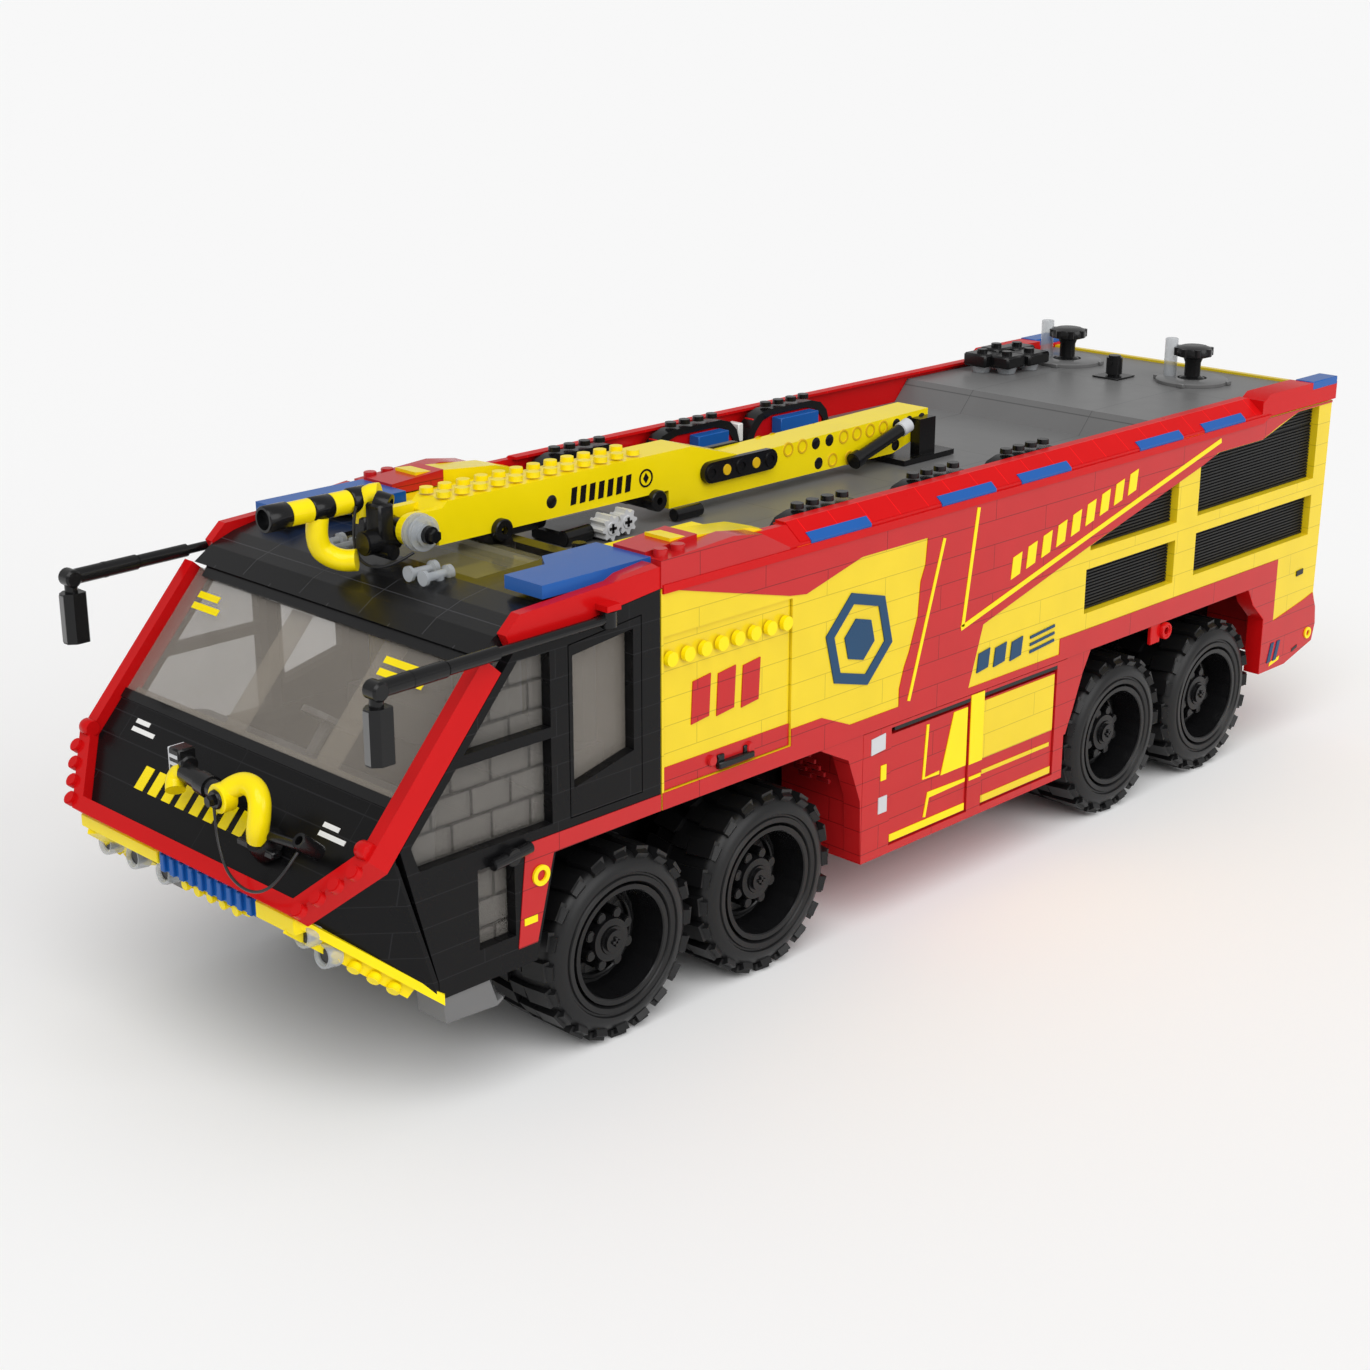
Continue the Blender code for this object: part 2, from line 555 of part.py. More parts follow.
def make_body_sides():
    start = CAB_REAR + GAP
    side_outline = [(start, ARCH_Z), (TAIL_FRONT - 15 * MM, ARCH_Z), (TAIL_FRONT - 10 * MM, ARCH_Z - 8 * MM),
                    (TAIL_FRONT, ARCH_Z - 16.5 * MM), (TAIL_FRONT, TAIL_LOW),
                    (REAR - 25.6 * MM, TAIL_LOW), (REAR - 2 * MM, TAIL_LOW + 6 * MM),
                    (REAR, TAIL_LOW + 14 * MM), (REAR - 1 * MM, TAIL_LOW + 22 * MM),
                    (BODY_REAR - 1 * MM, TAIL_HIGH), (BODY_REAR, BODY_TOP), (start, BODY_TOP)]
    hole = [(start + 1 * MM, LOCKER_LOW), (LOCKER_REAR, LOCKER_LOW), (LOCKER_REAR, LOCKER_TOP),
            (start + 1 * MM, LOCKER_TOP)]
    front_grille = (AXLES[2] - 32 * MM, AXLES[2] + 32.2 * MM)
    rear_grille = (AXLES[3] - 24 * MM, BODY_REAR - 10.9 * MM)
    holes = [hole]
    for y_low, y_high in (front_grille, rear_grille):
        holes.append([(y_low, GRILLE_LOW), (y_high, GRILLE_LOW), (y_high, GRILLE_MID), (y_low, GRILLE_MID)])
    holes.append([(front_grille[0] + 2 * MM, GRILLE_UPPER), (front_grille[1], GRILLE_UPPER),
                  (front_grille[1], GRILLE_UPPER + 17.5 * MM), (front_grille[0] + 2 * MM, GRILLE_UPPER + 2 * MM)])
    top = BODY_TOP - 1.2 * MM
    holes.append([(rear_grille[0], GRILLE_UPPER), (rear_grille[1], GRILLE_UPPER), (rear_grille[1], top),
                  (rear_grille[1] - 18 * MM, top), (rear_grille[1] - 47 * MM, top - 8 * MM),
                  (rear_grille[0] + 14 * MM, top - 8 * MM), (rear_grille[0], top - 11.5 * MM)])
    flap = [(hole[0][0] + SEAM, LOCKER_LOW + SEAM), (hole[1][0] - SEAM, LOCKER_LOW + SEAM),
            (hole[1][0] - SEAM, LOCKER_TOP - SEAM), (hole[0][0] + SEAM, LOCKER_TOP - SEAM)]
    for side, sign in SIDES:
        across(f"body_side_{side}", side_outline, sign * (HALF - WALL), sign * HALF, "yellow", holes)
        x_out = HALF - WALL - GAP
        x = sorted((sign * (x_out - GRILLE_T), sign * x_out))
        box(f"grille_{side}", (x[0], front_grille[0] - 2 * MM, GRILLE_LOW - 2 * MM),
            (x[1], rear_grille[1] + 2 * MM, top + 1 * MM), "black")
        face = HALF - FLAP_RECESS
        hinge = empty(f"locker_hinge_{side}", (sign * face, 0, LOCKER_TOP - SEAM))
        hinge_to(across(f"side_locker_{side}", flap, sign * (face - FLAP_T), sign * face, "yellow"), hinge)


def make_skirts():
    """Lower lockers between the wheel pairs: a box open outwards, and two flaps on its sill."""
    top = ARCH_Z - GAP
    doors = ((SKIRT_FRONT + SKIRT_POST_FRONT, SKIRT_MID_POST),
             (SKIRT_MID_POST + SKIRT_MID_WIDTH, SKIRT_REAR - SKIRT_POST_REAR))
    low = SKIRT_LOW + SKIRT_RIM
    high = top - 1.2 * MM
    for side, sign in SIDES:
        def span(x_low, x_high):
            return sorted((sign * x_low, sign * x_high))

        x = span(SKIRT_INNER, HALF)
        body = box(f"skirt_{side}", (x[0], SKIRT_FRONT, SKIRT_LOW), (x[1], SKIRT_REAR, top), "red")
        for name, (y_low, y_high) in zip(("front", "rear"), doors):
            x = span(HALF - FLAP_T - GAP, HALF + 5 * MM)
            cut(body, box(f"flap_seat_{name}_{side}", (x[0], y_low, low), (x[1], y_high, high)))
            x = span(SKIRT_INNER + 3 * MM, HALF)
            cut(body, box(f"locker_{name}_{side}", (x[0], y_low + 1.5 * MM, low),
                          (x[1], y_high - 1.5 * MM, high)))
            face = HALF - SKIRT_FLAP_RECESS
            x = span(face - FLAP_T + SKIRT_FLAP_RECESS, face)
            hinge = empty(f"{name}_flap_hinge_{side}", (sign * face, 0, low + SEAM))
            hinge_to(box(f"{name}_flap_{side}", (x[0], y_low + SEAM, low + SEAM),
                         (x[1], y_high - SEAM, high - FINGER_GAP), "red"), hinge)


def make_roof():
    half = HALF - EDGE_WIDTH - GAP
    rear = BODY_REAR - WALL - GAP
    deck_low = DECK_Z - DECK_T
    outline = [(CAB_REAR + GAP, deck_low), (rear, deck_low), (rear, REAR_DECK_Z),
               (REAR_DECK_FRONT, REAR_DECK_Z), (REAR_DECK_FRONT - 9 * MM, DECK_Z), (CAB_REAR + GAP, DECK_Z)]
    across("roof_deck", outline, -half, half, "grey")
    for side, sign in SIDES:
        leg = HALF - WALL - GRILLE_T - 2 * GAP
        section = [(HALF - EDGE_WIDTH, deck_low), (leg, deck_low), (leg, BODY_TOP + GAP),
                   (HALF, BODY_TOP + GAP), (HALF, BODY_TOP + 2 * MM), (HALF - 7 * MM, EDGE_TOP),
                   (HALF - EDGE_WIDTH, EDGE_TOP)]
        edge = lengthwise(f"roof_edge_{side}", [(sign * x, z) for x, z in section],
                          CAB_REAR + GAP, REAR, "red")
        cab_edge = [(front_y(CAB_TOP_FRONT + GAP, FRAME_DEPTH), CAB_TOP_FRONT + GAP),
                    (CAB_REAR + 1 * MM, CAB_TOP_REAR + GAP), (CAB_REAR + 1 * MM, EDGE_TOP),
                    (front_y(CAB_TOP_FRONT + GAP, FRAME_DEPTH) + 3 * MM, EDGE_TOP - 3 * MM),
                    (front_y(CAB_TOP_FRONT + GAP, FRAME_DEPTH) - 3 * MM, CAB_TOP_FRONT + 6 * MM)]
        x = sorted((sign * (HALF - 1 * MM), sign * (HALF + GAP + 2 * MIRROR_PIVOT_R)))
        join(edge, across(f"cab_edge_{side}", cab_edge, sign * (HALF - WALL), sign * HALF, "red"),
             box(f"mirror_lug_{side}", (x[0], MIRROR_Y - 3 * MM, MIRROR_LUG_Z),
                 (x[1], MIRROR_Y + 3 * MM, MIRROR_LUG_Z + 2 * MM), "red"))
        x = sorted((sign * (HALF - 8 * MM), sign * HALF))
        join(edge, box(f"rear_rail_{side}", (x[0], REAR_RAIL_FRONT, BODY_TOP + GAP),
                       (x[1], REAR, EDGE_TOP + 0.5 * MM), "red"))


def make_rear():
    half = HALF - WALL - GAP
    top_half, shoulder = HALF - EDGE_WIDTH - GAP, DECK_Z - DECK_T - GAP
    outline = [(-half, TAIL_HIGH), (half, TAIL_HIGH), (half, shoulder), (top_half, shoulder),
               (top_half, REAR_DECK_Z + 1 * MM), (-top_half, REAR_DECK_Z + 1 * MM), (-top_half, shoulder),
               (-half, shoulder)]
    lengthwise("rear_panel", outline, BODY_REAR - WALL, BODY_REAR - 1 * MM, "yellow")
    bumper = [(REAR - 20 * MM, TAIL_LOW), (REAR - 8 * MM, TAIL_LOW + 5 * MM), (REAR - 2 * MM, TAIL_LOW + 8 * MM),
              (REAR - 2 * MM, TAIL_LOW + 22 * MM), (BODY_REAR - 2 * MM, TAIL_HIGH - GAP),
              (REAR - 20 * MM, TAIL_HIGH - GAP)]
    across("rear_bumper", bumper, -half, half, "red")


def make_vents():
    for side, x in (("left", 27 * MM), ("right", -42 * MM)):
        z = REAR_DECK_Z + GAP
        turned(f"roof_vent_{side}", [(0, 17 * MM), (5 * MM, 17 * MM), (7 * MM, 15 * MM), (7 * MM, 12.5 * MM),
                                     (3 * MM, 12 * MM), (3 * MM, 2 * MM), (13 * MM, 2 * MM), (13 * MM, 0),
                                     (0, 0)],
               (x, REAR - 36 * MM, z), "black", "Z")


def make_beacons():
    for side, sign in SIDES:
        x = sorted((sign * 50 * MM, sign * (HALF - WALL - GAP)))
        box(f"beacon_{side}", (x[0], CAB_REAR - 48 * MM, 161.4 * MM), (x[1], CAB_REAR - 2 * MM, 166 * MM),
            "blue")


def make_mirrors():
    for side, sign in SIDES:
        x = sign * (HALF + GAP + MIRROR_PIVOT_R)
        root = Vector((x, MIRROR_Y, 152.4 * MM))
        elbow = Vector((x, CAB_REAR - 118 * MM, 151 * MM))
        knee = root.lerp(elbow, 0.55)
        arm = rod(f"mirror_{side}", root, elbow, 1.6 * MM, "black", 10)
        join(arm, rod(f"arm_sleeve_{side}", knee, elbow, 2.6 * MM, "black", 10),
             box(f"mirror_case_{side}", (x - 3.5 * MM, elbow.y - 4 * MM, 128 * MM),
                 (x + 3.5 * MM, elbow.y + 4 * MM, 146 * MM)),
             rod(f"mirror_stem_{side}", elbow, (x, elbow.y, 145 * MM), 2.2 * MM, "black", 10),
             rod(f"mirror_pivot_{side}", (x, root.y, root.z - 3 * MM), (x, root.y, MIRROR_LUG_Z - GAP),
                 MIRROR_PIVOT_R, "black", 14))
        hang(arm, root)


# ---------------------------------------------------------------- boom and monitors

def make_boom():
    pivot_y, pivot_z = BOOM_PIVOT
    outline = [(BOOM_TIP, BOOM_FRONT_LOW), (BOOM_STEP, BOOM_FRONT_LOW), (BOOM_STEP, BOOM_LOW + 1 * MM),
               (BOOM_END - 22 * MM, BOOM_LOW + 1 * MM), (BOOM_END, BOOM_FRONT_LOW - 1 * MM),
               (BOOM_END, BOOM_REAR_TOP), (BOOM_STEP + 40 * MM, BOOM_REAR_TOP - 2 * MM),
               (BOOM_STEP + 12 * MM, BOOM_FRONT_TOP), (BOOM_TIP + 4 * MM, BOOM_FRONT_TOP),
               (BOOM_TIP, BOOM_FRONT_TOP - 4 * MM)]
    boom = across("boom", outline, -BOOM_HALF, BOOM_HALF, "yellow")
    pin_hole = rod("pin_hole", (-HALF, pivot_y, pivot_z), (HALF, pivot_y, pivot_z), PIN_R + GAP, "black", 12)
    cut(boom, pin_hole)
    tip_y, tip_z = TIP_PIVOT
    turns = [math.radians(90 + 15 * step) for step in range(13)]
    ear = [(tip_y + EAR_R * math.cos(turn), tip_z + EAR_R * math.sin(turn)) for turn in turns]
    ear += [(BOOM_TIP + 2 * MM, tip_z - EAR_R), (BOOM_TIP + 2 * MM, tip_z + EAR_R)]
    for sign in (1, -1):
        join(boom, across(f"tip_ear_{sign}", ear, sign * EAR_INNER, sign * BOOM_HALF, "yellow"))
    cut(boom, rod("tip_hole", (-HALF, tip_y, tip_z), (HALF, tip_y, tip_z), TIP_PIN_R + GAP, "black", 12))
    base = box("boom_base", (-16 * MM, pivot_y - 18 * MM, DECK_Z + GAP),
               (16 * MM, pivot_y + 14 * MM, DECK_Z + 2.4 * MM), "black")
    for sign in (1, -1):
        x = sorted((sign * (BOOM_HALF + GAP), sign * 13 * MM))
        join(base, box(f"cheek_{sign}", (x[0], pivot_y - 5 * MM, DECK_Z + 2 * MM),
                       (x[1], pivot_y + 5 * MM, pivot_z + 4 * MM)))
    join(base, rod("boom_pin", (-12 * MM, pivot_y, pivot_z), (12 * MM, pivot_y, pivot_z), PIN_R, "black", 12))
    hang(boom, (0, pivot_y, pivot_z))


def make_roof_monitor():
    """Tilting monitor on the boom's tip: cross pin, neck, barrel and curved water pipe."""
    y, z = TIP_PIVOT
    barrel_x = -10 * MM
    barrel_rear = y - 6 * MM
    head = rod("roof_monitor", (-11 * MM, y, z), (17 * MM, y, z), TIP_PIN_R, "black", 12)
    join(head, rod("pulley", (9 * MM, y, z), (15 * MM, y, z), 6.4 * MM, "clear", 16),
         box("monitor_neck", (-4 * MM, y - 8 * MM, z - 3 * MM), (4 * MM, y, BARREL_Z + 3 * MM)),
         rod("neck_socket", (0, y - 15 * MM, z - 3 * MM), (0, y - 2 * MM, z - 3 * MM), 4.2 * MM, "black", 14),
         rod("barrel", (barrel_x, BARREL_FRONT, BARREL_Z), (barrel_x, barrel_rear, BARREL_Z), BARREL_R,
             "yellow", 16),
         rod("barrel_link", (barrel_x, barrel_rear - 2 * MM, BARREL_Z), (0, barrel_rear - 2 * MM, BARREL_Z),
             3 * MM, "black", 12))
    bend = [(-10, -28, 177), (-10, -28, 169), (-9.4, -27, 164.6), (-7.4, -24.6, 161.8), (-4.4, -21.4, 161),
            (-1.6, -18.6, 161.4)]
    route = [(x * MM, y + along * MM, height * MM) for x, along, height in bend]
    join(head, tube("water_elbow", route, 3.8 * MM, "yellow"))
    hang(head, (0, y, z))


def make_bumper_monitor():
    """Monitor on the fascia: a base, a pipe arching over to its ring, and a nozzle beside it."""
    normal = Vector((0, -math.sin(RAKE), math.cos(RAKE)))
    slope = Vector((0, math.cos(RAKE), math.sin(RAKE)))
    foot = Vector((MONITOR_X, front_y(MONITOR_Z), MONITOR_Z))
    ahead = Vector((0, -1, 0)) * MM

    def at(x, up, out):
        return foot + Vector((x * MM, 0, 0)) + slope * up * MM + normal * out * MM

    body = rod("bumper_monitor", at(0, -1, 0.3) - normal * FACE_RECESS, at(0, -1, 5), 4.4 * MM, "black", 14)
    arch = [at(0, -1, 4), at(1.4, 3, 7), at(1, 8, 10), at(-3, 11.5, 12), at(-8, 11.5, 13), at(-11.4, 8.6, 13.4),
            at(-13, 5.4, 13.4)]
    ring, box_at = at(-13, 5.2, 13), at(-46, 11, 9)
    join(body, tube("arch_pipe", arch, 3.6 * MM, "yellow"),
         rod("pipe_ring", ring - ahead * 2.5, ring + ahead * 2.5, 4.8 * MM, "yellow", 16),
         rod("ring_pin", ring, ring + ahead * 6, 2.2 * MM, "black", 12),
         rod("nozzle", at(-11, 6, 10.5), at(-44, 8, 8.4), 3.2 * MM, "black", 12),
         tube("nozzle_elbow", [at(-43, 8, 8.4), at(-45, 5, 7.6), at(-43.6, 1.6, 7)], 3.2 * MM, "yellow"),
         box("nozzle_head", box_at - Vector((3, 3.5, 5)) * MM, box_at + Vector((4, 3.5, 5)) * MM),
         rod("connector_arm", at(0, 1, 3), at(25.5, 3, 3), 1.6 * MM, "black", 10),
         rod("connector", at(25.5, 3, 1.6), at(25.5, 3, 11), 2.6 * MM, "black", 12))
    hang(body, foot)


def make_hoses():
    """Thin hoses that hang from each monitor and come back to it."""
    for name, points in (("roof_monitor_hose", ROOF_HOSE), ("bumper_monitor_hose", BUMPER_HOSE)):
        route = smooth_route([Vector(point) * MM for point in points], 3)
        tube(name, route, HOSE_D / 2, "black")


# Hose routes in millimetres
ROOF_HOSE = [(-5.15, -202, 178.4), (-5.3, -202.6, 175.2), (-5.6, -203, 170.4), (-5.4, -203, 165.4),
             (-4, -202.8, 161.6), (-0.8, -202.2, 159.6), (3.2, -201, 159.1), (6.8, -198.6, 160),
             (9.8, -195.2, 162), (11.6, -191.9, 164)]
BUMPER_HOSE = [(21.4, -281, 102.1), (22.2, -281.4, 98.4), (24, -282.2, 93.6), (27, -283.2, 89.4),
               (31.4, -284.6, 86), (37, -285.6, 84), (43.6, -286.2, 83.4), (50, -286, 84.6),
               (55.4, -285, 87.8), (58.8, -282.6, 92.4), (59.5, -277.7, 97.7)]


clear_scene()
TRUCK = make_collection("airport_fire_truck")
CUTTERS = make_collection("cutters")
MATERIALS = make_materials()

make_chassis()
for axle_number, axle_y in enumerate(AXLES, 1):
    make_wheelset(axle_number, axle_y)
make_cab_shell()
make_front()
make_headlights()
make_cab_roof()
make_cab_inside()
make_body_sides()
make_skirts()
make_roof()
make_rear()
make_vents()
make_beacons()
make_mirrors()
make_boom()
make_roof_monitor()
make_bumper_monitor()
make_hoses()
bpy.context.view_layer.update()
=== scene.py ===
import math

import bmesh
import bpy
from mathutils import Matrix, Vector


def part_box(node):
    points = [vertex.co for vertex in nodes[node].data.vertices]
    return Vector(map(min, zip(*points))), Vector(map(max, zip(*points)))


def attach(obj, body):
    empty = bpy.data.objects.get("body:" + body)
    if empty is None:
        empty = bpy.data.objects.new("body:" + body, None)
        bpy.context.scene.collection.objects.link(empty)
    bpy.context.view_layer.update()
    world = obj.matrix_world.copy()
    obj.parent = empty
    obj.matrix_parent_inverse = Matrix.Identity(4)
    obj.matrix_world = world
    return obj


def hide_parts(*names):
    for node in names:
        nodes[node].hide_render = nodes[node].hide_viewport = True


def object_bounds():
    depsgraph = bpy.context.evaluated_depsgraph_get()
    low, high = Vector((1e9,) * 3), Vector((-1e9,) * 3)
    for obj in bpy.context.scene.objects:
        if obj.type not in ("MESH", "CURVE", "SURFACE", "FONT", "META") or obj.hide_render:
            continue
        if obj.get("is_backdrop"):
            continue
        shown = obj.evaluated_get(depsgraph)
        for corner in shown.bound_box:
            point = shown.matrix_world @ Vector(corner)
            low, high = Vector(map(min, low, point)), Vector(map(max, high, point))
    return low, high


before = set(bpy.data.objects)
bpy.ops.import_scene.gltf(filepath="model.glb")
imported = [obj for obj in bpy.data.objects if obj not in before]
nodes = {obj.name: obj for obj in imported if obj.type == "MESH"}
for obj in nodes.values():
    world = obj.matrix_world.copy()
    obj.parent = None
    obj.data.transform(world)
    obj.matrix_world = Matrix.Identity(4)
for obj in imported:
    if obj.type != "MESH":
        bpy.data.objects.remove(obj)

cadLow, cadHigh = (Vector(corner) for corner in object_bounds())
mm = 0.001
stud = 8.0            # pitch of the studs, in millimetres
sides = (("left", 1), ("right", -1))
# the middle of every measure below: on the ground, halfway along the truck
middle = Vector((0, (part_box("front_frame")[0].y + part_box("rear_bumper")[1].y) / 2 + mm, cadLow.z))
scene = bpy.context.scene


def place(x, y, z):
    # millimetres from the middle of the truck, on the ground
    return middle + Vector((x, y, z)) * mm


def boxOf(node):
    low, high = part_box(node)
    return (low - middle) / mm, (high - middle) / mm


def reach(node):
    # how far out from the middle plane the node's side face lies
    low, high = boxOf(node)
    return max(abs(low.x), abs(high.x))


def rectangle(left, foot, right, top):
    return [(left, foot), (right, foot), (right, top), (left, top)]


# ---- camera, floor and light
cameraLook = {"place": (572.19, -632.35, 359.0), "down": 18.8066, "turn": 44.6826, "lens": 58.71,
              "sensor": 36, "near": 0.01}
camera = bpy.data.objects.new("camera", bpy.data.cameras.new("camera"))
camera.data.lens = cameraLook["lens"]
camera.data.sensor_width = cameraLook["sensor"]
camera.data.clip_start = cameraLook["near"]
camera.location = place(*cameraLook["place"])
camera.rotation_euler = (math.radians(90 - cameraLook["down"]), 0, math.radians(cameraLook["turn"]))
scene.collection.objects.link(camera)
scene.camera = camera

studio = {"floor": (0.92, 0.92, 0.92), "sky": 0.52,
          "suns": {"keySun": ((0.55, -0.55, 1.0), 1.55, 50), "sideSun": ((1.0, 0.15, 0.42), 0.9, 40)}}


def addSun(name, toward, strength, spread):
    lamp = bpy.data.objects.new(name, bpy.data.lights.new(name, "SUN"))
    lamp.data.energy = strength
    lamp.data.angle = math.radians(spread)
    lamp.location = Vector(toward)
    lamp.rotation_euler = Vector(toward).to_track_quat("Z", "Y").to_euler()
    scene.collection.objects.link(lamp)


for name, look in studio["suns"].items():
    addSun(name, *look)
world = bpy.data.worlds.new("studio")
scene.world = world
world.use_nodes = True
sky = world.node_tree.nodes["Background"]
sky.inputs["Color"].default_value = (1, 1, 1, 1)
sky.inputs["Strength"].default_value = studio["sky"]
scene.view_settings.view_transform = "Standard"
print("camera and light ready")


def mathsFor(tree):
    # a shorthand that adds one maths node to the tree and hands back its output
    def maths(operation, *values):
        node = tree.nodes.new("ShaderNodeMath")
        node.operation = operation
        for index, value in enumerate(values):
            if isinstance(value, (int, float)):
                node.inputs[index].default_value = value
            else:
                tree.links.new(value, node.inputs[index])
        return node.outputs[0]

    return maths


# ---- finishes
def seamGroup():
    # joints between bricks: level courses, and upright joints staggered from course to course
    group = bpy.data.node_groups.new("brickJoints", "ShaderNodeTree")
    for label, default in (("Course", 0.0096), ("Length", 0.032), ("Line", 0.00022), ("Lift", 0.0)):
        group.interface.new_socket(label, in_out="INPUT", socket_type="NodeSocketFloat").default_value = default
    group.interface.new_socket("Joint", in_out="OUTPUT", socket_type="NodeSocketFloat")
    put, link = group.nodes.new, group.links.new
    given, out, maths = put("NodeGroupInput"), put("NodeGroupOutput"), mathsFor(group)
    spot, facing = put("ShaderNodeSeparateXYZ"), put("ShaderNodeSeparateXYZ")
    link(put("ShaderNodeTexCoord").outputs["Object"], spot.inputs[0])
    link(put("ShaderNodeNewGeometry").outputs["True Normal"], facing.inputs[0])
    level = maths("DIVIDE", maths("SUBTRACT", spot.outputs["Z"], given.outputs["Lift"]), given.outputs["Course"])
    row = maths("FLOOR", level)
    shift = maths("MULTIPLY", maths("MODULO", maths("ABSOLUTE", row), 2.0), 0.5)

    def jointLine(value, pitch, axis):
        near = maths("MULTIPLY", maths("PINGPONG", value, 0.5), pitch)
        line = maths("LESS_THAN", near, given.outputs["Line"])
        edgeOn = maths("LESS_THAN", maths("ABSOLUTE", facing.outputs[axis]), 0.8)
        return maths("MULTIPLY", line, edgeOn)

    found = jointLine(level, given.outputs["Course"], "Z")
    for axis in ("Y", "X"):
        along = maths("ADD", maths("DIVIDE", spot.outputs[axis], given.outputs["Length"]), shift)
        found = maths("MAXIMUM", found, jointLine(along, given.outputs["Length"], axis))
    link(found, out.inputs["Joint"])
    return group


def wearGroup():
    # faint moulding mottle and a fine grain
    group = bpy.data.node_groups.new("mouldedPlastic", "ShaderNodeTree")
    group.interface.new_socket("Scale", in_out="INPUT", socket_type="NodeSocketFloat").default_value = 60
    group.interface.new_socket("Mottle", in_out="OUTPUT", socket_type="NodeSocketFloat")
    group.interface.new_socket("Grain", in_out="OUTPUT", socket_type="NodeSocketFloat")
    put, link = group.nodes.new, group.links.new
    given, out, spot = put("NodeGroupInput"), put("NodeGroupOutput"), put("ShaderNodeTexCoord")
    broad, fine = put("ShaderNodeTexNoise"), put("ShaderNodeTexNoise")
    fine.inputs["Scale"].default_value = 2600
    fine.inputs["Detail"].default_value = 1
    for node in (broad, fine):
        link(spot.outputs["Object"], node.inputs["Vector"])
    link(given.outputs["Scale"], broad.inputs["Scale"])
    link(broad.outputs["Fac"], out.inputs["Mottle"])
    link(fine.outputs["Fac"], out.inputs["Grain"])
    return group


joints, wear = seamGroup(), wearGroup()


def finish(name, colour, roughness=0.22, joint=None, dark=0.45, grain=0.02, alpha=1.0, coat=0.1, gloss=0.35,
           mottle=0.06):
    made = bpy.data.materials.new(name)
    made.use_nodes = True
    put, link = made.node_tree.nodes.new, made.node_tree.links.new
    shader = made.node_tree.nodes["Principled BSDF"]
    look = put("ShaderNodeGroup")
    look.node_tree = wear
    tone = put("ShaderNodeMix")
    tone.data_type = "RGBA"
    tone.inputs["A"].default_value = (*[c * (1 - mottle) for c in colour], 1)
    tone.inputs["B"].default_value = (*[min(1, c * (1 + mottle)) for c in colour], 1)
    link(look.outputs["Mottle"], tone.inputs["Factor"])
    rough = put("ShaderNodeMapRange")
    rough.inputs["To Min"].default_value = roughness * 0.8
    rough.inputs["To Max"].default_value = roughness * 1.2
    link(look.outputs["Mottle"], rough.inputs["Value"])
    link(rough.outputs["Result"], shader.inputs["Roughness"])
    colourOut, height = tone.outputs["Result"], look.outputs["Grain"]
    # joint lines take the colour times dark: below 1 these are dark joints, above 1 painted highlights along the seams
    if joint:
        lines = put("ShaderNodeGroup")
        lines.node_tree = joints
        for label, value in joint.items():
            lines.inputs[label].default_value = value
        shade = put("ShaderNodeMix")
        shade.data_type = "RGBA"
        shade.inputs["B"].default_value = (*[c * dark for c in colour], 1)
        link(lines.outputs["Joint"], shade.inputs["Factor"])
        link(colourOut, shade.inputs["A"])
        colourOut = shade.outputs["Result"]
    link(colourOut, shader.inputs["Base Color"])
    bump = put("ShaderNodeBump")
    bump.inputs["Strength"].default_value = grain
    bump.inputs["Distance"].default_value = 0.0002
    link(height, bump.inputs["Height"])
    link(bump.outputs["Normal"], shader.inputs["Normal"])
    shader.inputs["Alpha"].default_value = alpha
    shader.inputs["Specular IOR Level"].default_value = gloss
    shader.inputs["Coat Weight"].default_value = coat
    shader.inputs["Coat Roughness"].default_value = 0.08
    return made


brick = {"Course": 0.0096, "Length": 0.064, "Line": 0.00016, "Lift": 0.0022}
tile = {"Course": 0.2, "Length": 0.016, "Line": 0.00018, "Lift": -0.05}
plate = {"Course": 0.2, "Length": 0.064, "Line": 0.0002, "Lift": -0.05}
window = {"Course": 0.0096, "Length": 0.016, "Line": 0.0006, "Lift": 0.0022}
red = finish("redBrick", (0.5, 0.012, 0.014), joint=brick, coat=0.06, gloss=0.3)
redPlain = finish("redPlastic", (0.56, 0.005, 0.006), coat=0.03, gloss=0.13)
# red roof tiles: joint lines painted lighter than the red (dark above 1), painted highlights along the tile seams
redTileLitSeams = finish("redRoofTileLitSeams", (0.58, 0.005, 0.006), 0.3, joint=tile, dark=1.5, coat=0, gloss=0.06)
redShaded = finish("redShade", (0.25, 0.006, 0.008), 0.3, coat=0, gloss=0.15)
yellow = finish("yellowBrick", (0.8, 0.59, 0.012), joint=brick, dark=0.7, gloss=0.3)
yellowPlain = finish("yellowPlastic", (0.93, 0.73, 0.003), coat=0.06, gloss=0.22)
# a darker copy of the yellow: painted shade for the boom's holes
yellowShaded = finish("yellowShade", (0.72, 0.45, 0.01))
orange = finish("orangePlastic", (0.75, 0.12, 0.01))
black = finish("blackPlastic", (0.006, 0.006, 0.0065), 0.25, gloss=0.25)
